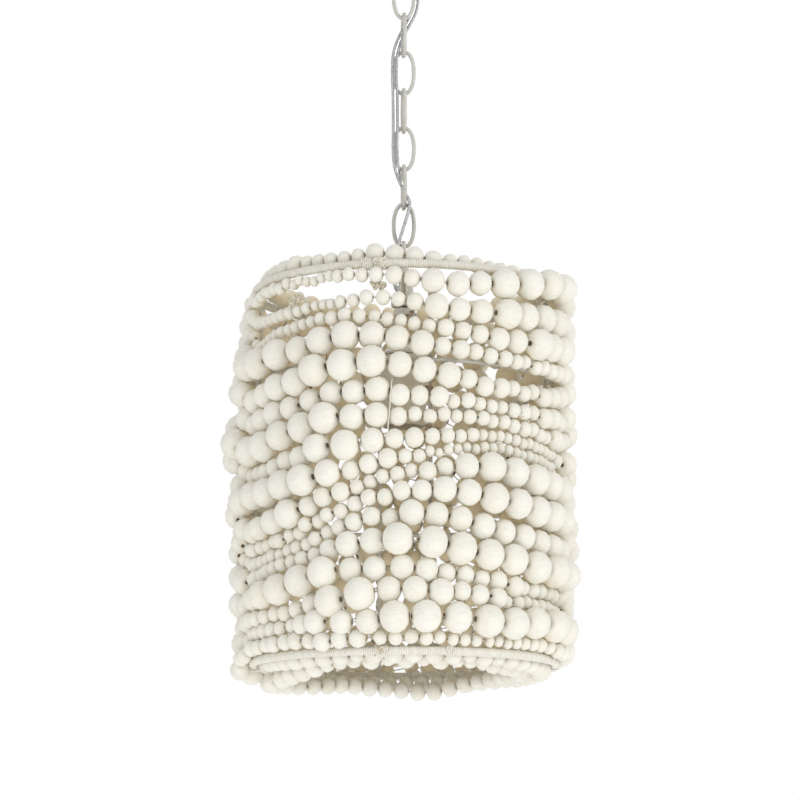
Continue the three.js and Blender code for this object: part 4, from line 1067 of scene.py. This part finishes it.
# Where the outer rows stand proud or lie in: angle, height above the bottom ring, and how
# far out. BULGE is how wide such a spot is, in degrees as well as in millimetres.
BULGES = [(-90, 170, 8), (-90, 102, 6), (80, 28, -7), (85, 150, -4), (85, 78, -6), (85, 60, -3)]
BULGE = 14
rng = np.random.default_rng(7)


def behind(angle, ramp):
    """0 for what is in view and 1 round the back, from the edge of view on by a ramp."""
    return np.clip((np.abs((np.asarray(angle) + 180) % 360 - 180) - SEEN_TO) / ramp, 0, 1)


def close_row(beads, left, right, back, radius_of):
    """Lengthens a run of [angle, size] beads by the letters past its two ends, and fills it
    round the back with a pattern that is spread evenly."""
    step = lambda one, other: math.degrees((one + other) / 2 / radius_of(other))
    for size in (BEAD_SIZE[letter] for letter in right):
        beads.append([beads[-1][0] + step(beads[-1][1], size), size])
    for size in (BEAD_SIZE[letter] for letter in left):
        beads.insert(0, [beads[0][0] - step(beads[0][1], size), size])
    end, fill, i = beads[0][0] + 360, [beads[-1]], 0
    while True:
        size = BEAD_SIZE[back[i % len(back)]] * BACK_SIZE
        angle = fill[-1][0] + step(fill[-1][1], size)
        if angle + step(size, beads[0][1]) > end:
            break
        fill.append([angle, size])
        i += 1
    start = beads[-1][0]
    natural = fill[-1][0] + step(fill[-1][1], beads[0][1]) - start
    return beads + [[start + (a - start) * (end - start) / natural, s] for a, s in fill[1:]]


def outer_row(left, right, back, seen):
    """Angles, sizes, heights and radii of a row outside the frame. Past its seen beads it
    climbs or falls evenly."""
    radius_of = lambda size: REST + size / 2
    beads = close_row([[a, d] for a, z, d in seen], left, right, back, radius_of)
    stops = [p[0] for p in seen] + [seen[0][0] + 360]
    levels = [p[1] for p in seen] + [seen[0][1]]
    return [[a, d, np.interp((a - stops[0]) % 360 + stops[0], stops, levels), radius_of(d)]
        for a, d in beads]


def inner_row(start, right, left, back, insets, rises):
    """The same for a string inside a ring, with its heights from that ring."""
    first = LOOP_ANGLES[0]
    across = lambda angle, values: np.interp((angle - first) % 360 + first,
        LOOP_ANGLES + [first + 360], values + values[:1])
    radius_of = lambda size: RING - across(start, insets)
    beads = close_row([[start, BEAD_SIZE[right[0]]]], left, right[1:], back, radius_of)
    return [[a, d, across(a, rises), RING - across(a, insets)] for a, d in beads]


def share_heights(rows, rounds=300):
    """Round the back the rows part the frame's height evenly, each by its size."""
    grid = np.arange(0, 360, 3.0)
    column = lambda row, i: np.interp(grid, *zip(*sorted((b[0] % 360, b[i]) for b in row)),
        period=360)
    level = np.array([column(row, 2) for row in rows])
    size = np.array([column(row, 1) for row in rows])
    size = (np.roll(size, 1, 1) + size * 2 + np.roll(size, -1, 1)) / 4
    free, sag = behind(grid, 22), np.interp(grid, *SAG)
    for _ in range(rounds):
        above = np.vstack([np.full(len(grid), FRAME_HEIGHT + 1.0), level[:-1] - size[:-1] / 2])
        below = np.vstack([level[1:] + size[1:] / 2, -1.0 - sag])
        level += (((above + below) / 2) - level) * free * 0.6
    for row, heights in zip(rows, level):
        for bead in row:
            bead[2] = np.interp(bead[0] % 360, grid, heights, period=360)


def swelling(sizes, angle):
    """How much wider than long a bead is: the small ones are flat, as are those behind."""
    return 1.06 + 0.14 * np.clip((12.5 - sizes) / 4, 0, 1) + 0.09 * behind(angle, 16)


def settle(places, sizes, rows, inside, rounds=220):
    """Beads that would lie in each other, in a ring or in a hoop give way, mostly outwards.
    A place is an angle in radians, a height and a radius."""
    angle, height, radius = places.T
    aim = np.stack([radius * np.sin(angle), -radius * np.cos(angle), height], 1)
    slack = 1.2 + 2.5 * behind(np.degrees(angle), 16)
    reach = np.linalg.norm(aim[:, None] - aim[None], axis=2)
    one, other = np.nonzero(np.triu(reach < (sizes[:, None] + sizes[None]) / 2 + 6, 1))
    same = rows[one] == rows[other]
    widths = sizes * swelling(sizes, np.degrees(angle))
    apart = np.where(same, (sizes[one] + sizes[other]) * 0.492,
        (widths[one] + widths[other]) * 0.49) + 0.1
    larger = np.where(sizes[one] > sizes[other], one, other)
    point = aim.copy()
    wires = [(BOTTOM_RING + share * FRAME_HEIGHT, WIRE, 0.2) for share in HOOPS] \
        + [(level, RING_BAND, 1.0) for level in (TOP_RING, BOTTOM_RING)]
    for _ in range(rounds):
        gap = point[other] - point[one]
        reach = np.linalg.norm(gap, axis=1)
        overlap = np.maximum(apart - reach, 0)
        push = gap / reach[:, None] * (overlap * 0.3)[:, None]
        np.add.at(point, other, push)
        np.add.at(point, one, -push)
        wide = np.hypot(point[:, 0], point[:, 1])
        out = point[:, :2] / wide[:, None]
        # Of two beads that overlap, the larger one also moves out.
        strained = np.zeros(len(point))
        np.maximum.at(strained, larger, overlap)
        wide = np.where(inside, np.clip(wide, radius - 2, radius + 1),
            np.clip(wide + strained * 0.12 - (wide - radius) * 0.02, radius, radius + 5))
        up = point[:, 2]
        for level, thick, lift in wires:
            far = np.hypot(wide - RING, up - level)
            need = np.maximum(thick + FIT + widths / 2 - far, 0) * (far < sizes)
            wide = wide + need * (wide - RING) / far
            up = up + need * (up - level) / far * lift
        drift = (np.arctan2(out[:, 0], -out[:, 1]) - angle + math.pi) % (2 * math.pi) - math.pi
        turn = angle + np.clip(drift, -slack / radius, slack / radius)
        up = np.clip(up, height - slack, height + slack)
        point = np.stack([wide * np.sin(turn), -wide * np.cos(turn), up], 1)
    return point


def lay_out_beads():
    """Every bead's row, place and size in millimetres, and the rows' names."""
    made = [outer_row(*row) for row in ROWS]
    share_heights(made)
    made += [inner_row(*string) for _, _, *string in INNER]
    names = [f"row_{i + 1:02d}" for i in range(len(ROWS))] + [name for name, *_ in INNER]
    base = np.array([BOTTOM_RING] * len(ROWS) + [ring for _, ring, *_ in INNER])
    rows = np.concatenate([[i] * len(row) for i, row in enumerate(made)])
    inside = rows >= len(ROWS)
    angle, size, height, radius = np.array([bead for row in made for bead in row], float).T
    size = size * rng.uniform(*UNEVEN, len(size))
    for middle, level, reach in BULGES:
        away = ((angle - middle + 180) % 360 - 180) / BULGE
        radius = radius + ~inside * reach * np.exp(-away ** 2 - ((height - level) / BULGE) ** 2)
    places = np.stack([np.radians(angle), height + base[rows], radius], 1)
    return names, rows, settle(places, size, rows, inside), size


def bead_rows():
    names, rows, places, sizes = lay_out_beads()
    angle = np.degrees(np.arctan2(places[:, 0], -places[:, 1]))
    widths = sizes * swelling(sizes, angle) * MM
    places, sizes = places * MM, sizes * MM
    flatness = rng.uniform(0.95, 1.0, len(sizes))
    tones = rng.uniform(0, 1, len(sizes)) ** 1.3
    for i, name in enumerate(names):
        pick = np.flatnonzero(rows == i)
        string = places[pick]
        ahead = np.roll(string, -1, 0) - string
        ahead /= np.linalg.norm(ahead, axis=1)[:, None]
        lie = ahead + np.roll(ahead, 1, 0) + rng.normal(0, 0.05, ahead.shape)
        shape = np.stack([widths[pick], widths[pick], sizes[pick] * flatness[pick]], 1)
        piece = grow("strung_" + name, string, loop_edges(len(pick)), BEADS,
            {"Segments": 12, "Bands": 7, "Small Segments": 9, "Small Bands": 6,
            "Small Size": 17 * MM, "Bore": 0.075, "Thread": 0.55 * MM, "Seed": i + 1,
            "Wood": WOOD, "Thread Finish": THREAD},
            [("lie", "FLOAT_VECTOR", lie), ("size", "FLOAT_VECTOR", shape),
            ("tone", "FLOAT", tones[pick])])
        dress(piece, "shade", "bead_wood", "beads_" + name)


bead_rows()


# Lashings and knots that tie the strings, and loose ends of twine. Angles are from the
# front; heights, radii and sizes are in millimetres.

# Each lashing's ring, its angle, its turns and which way they slant.
LASHINGS = [(TOP_RING, -14.5, 5, 1), (TOP_RING, -8.3, 5, -1), (BOTTOM_RING, -8.6, 6, 1),
    (BOTTOM_RING, 17.5, 3, -1), (TOP_RING, 62, 4, 1), (BOTTOM_RING, 96, 5, 1),
    (TOP_RING, 128, 5, -1), (BOTTOM_RING, 176, 5, 1), (TOP_RING, 205, 5, 1),
    (BOTTOM_RING, 262, 5, -1)]
# Each knot's angle, height above the bottom ring, radius and size.
KNOTS = [(-41, 294.5, 133, 8), (-43.5, 291, 133, 7), (-39, 291.5, 132, 5), (59.4, 295, 133, 8),
    (57, 296, 132, 6), (-8.2, 298, 129, 7), (-10.5, 300, 128, 8), (-8.2, 0, 132, 6),
    (-9.6, 317, 131.5, 5.5), (150, 296, 135, 8), (215, 12, 135, 7)]
# Dark knots at small dark spots between the front beads: each one's angle, height above the bottom
# ring, radius and size.
DARK_KNOTS = [(8.6, 211.9, 134, 6), (8.5, 180, 134, 6), (-10.3, 6.6, 134, 4),
    (2.7, 274.6, 133, 3.5), (-69.4, 37.3, 133, 5)]
# Each tail's points by angle, height above the bottom ring and radius.
TAILS = [
    [(-4.0, 221, 134), (-4.1, 217, 139), (-4.2, 212, 140.5), (-4.4, 203.8, 142),
        (-4.7, 196, 141), (-5.0, 187.5, 139.5), (-5.3, 181, 139), (-5.5, 174.6, 139),
        (-5.6, 171, 134)],
    [(-7.6, -1, 132.5), (-6.9, -3.4, 134), (-6.3, -6.5, 134.5), (-5.9, -9.1, 134)],
    [(-41.5, 292, 135), (-43.5, 288, 137), (-44.5, 284, 136)],
    [(59, 293, 135), (61, 290, 136.5), (62, 286, 136)]]
TWINE_RADIUS, TAIL_RADIUS = 0.75, 0.45


def lashing(ring, angle, turns, slant, per_turn=14):
    """A few turns of twine over a ring's winding, one beside the other, each aslant."""
    line, count, reach = [], turns * per_turn, RING_BAND + TWINE_RADIUS
    for i in range(count + 1):
        a = 2 * math.pi * i / per_turn
        across = (i / count - 0.5) * turns * 0.75 + slant * 1.2 * math.cos(a)
        line.append(front(angle + across, RING + reach * math.cos(a),
            ring + reach * math.sin(a)))
    return wire("lashing", line, False, TWINE_RADIUS, 8, TWINE)


def knot(angle, height, radius, size, count=42):
    """An overhand knot."""
    middle = Vector(front(angle, radius, BOTTOM_RING + height))
    out = Vector(front(angle, 1, 0)).normalized()
    up = Vector((0, 0, 1))
    side = up.cross(out)
    line = []
    for i in range(count):
        a = 2 * math.pi * i / count + 0.4
        line.append(middle + size * MM / 6 * (side * (math.sin(a) + 2 * math.sin(2 * a))
            + up * (math.cos(a) - 2 * math.cos(2 * a)) - out * 1.2 * math.sin(3 * a)))
    return wire("knot", line, True, size * 0.15, 8, TWINE)


def tail(points):
    return wire("tail", [front(a, r, BOTTOM_RING + h) for a, h, r in points], False,
        TAIL_RADIUS, 8, TWINE)


def ties():
    bound = [lashing(*place) for place in LASHINGS] + [tail(points) for points in TAILS]
    for name, parts, finish in (("twine_ties", bound, TWINE),
            ("thread_knots", [knot(*place) for place in KNOTS], THREAD),
            ("dark_knots", [knot(*place) for place in DARK_KNOTS], DARK)):
        piece = new_piece(name, *together(*(mesh_of(part) for part in parts)), [finish])
        mark = piece.data.attributes.new("turn", "FLOAT", "POINT")
        mark.data.foreach_set("value", [0.5] * len(piece.data.vertices))
        dress(piece, "shade", "twine")


ties()


# Floor, light and surroundings.

FLOOR_LEVEL, FLOOR_REACH = -2.1, 9.0
LAMPS_AIM = (0, 0, -0.48)
# Each lamp's name, place, width, power and colour.
LAMPS = [("key", (2.7, -2.0, 0.4), 2.0, 31, (1.0, 1.0, 0.99)),
    ("fill", (-2.4, -2.1, 0.0), 2.4, 8, (0.99, 1.0, 1.0)),
    ("low", (-0.3, -2.2, -1.75), 1.6, 11, (1.0, 1.0, 1.0)),
    ("under", (0, -0.5, -2.05), 2.4, 8, (1.0, 0.99, 0.97)),
    ("back", (0.4, 2.8, 0.7), 2.4, 34, (1.0, 1.0, 1.0))]


def lamp(name, at, size, power, colour):
    data = bpy.data.lights.new(name, "AREA")
    data.shape = "DISK"
    data.size = size
    data.energy = power
    data.color = colour
    light = bpy.data.objects.new(name, data)
    light.location = at
    light.rotation_euler = (Vector(LAMPS_AIM) - Vector(at)).to_track_quat("-Z", "Y").to_euler()
    bpy.context.scene.collection.objects.link(light)


def pale_floor():
    corners = [(x * FLOOR_REACH, y * FLOOR_REACH, FLOOR_LEVEL)
        for x, y in ((-1, -1), (1, -1), (1, 1), (-1, 1))]
    material, nodes, shader = new_finish("pale_floor", Roughness=0.9, Specular_IOR_Level=0.1)
    clouds = clouds_at(nodes, place(nodes), 0.8, 0.4)
    feed(nodes, shader, nodes.mix(clouds, (0.90, 0.90, 0.89), (0.88, 0.88, 0.87)))
    new_piece("floor", corners, [(0, 1, 2, 3)], [material], smooth=False)


def studio():
    """A grey surrounding light, and white where it is seen itself, mirrored or through."""
    world = bpy.data.worlds.new("studio")
    bpy.context.scene.world = world
    world.use_nodes = True
    nodes = Tree(world.node_tree)
    path = nodes.node("ShaderNodeLightPath").outputs
    seen = nodes.math("MAXIMUM", nodes.math("MAXIMUM", path["Is Camera Ray"],
        path["Is Glossy Ray"]), path["Is Transmission Ray"])
    around = nodes.out("ShaderNodeBackground", {"Color": (0.97, 0.98, 1.0, 1),
        "Strength": 0.73})
    white = nodes.out("ShaderNodeBackground", {"Color": (1, 1, 1, 1), "Strength": 1.0})
    both = nodes.out("ShaderNodeMixShader", {0: seen, 1: around, 2: white})
    nodes.set(world.node_tree.nodes["World Output"].inputs["Surface"], both)


pale_floor()
for values in LAMPS:
    lamp(*values)
studio()
bpy.context.scene.view_settings.view_transform = "Standard"
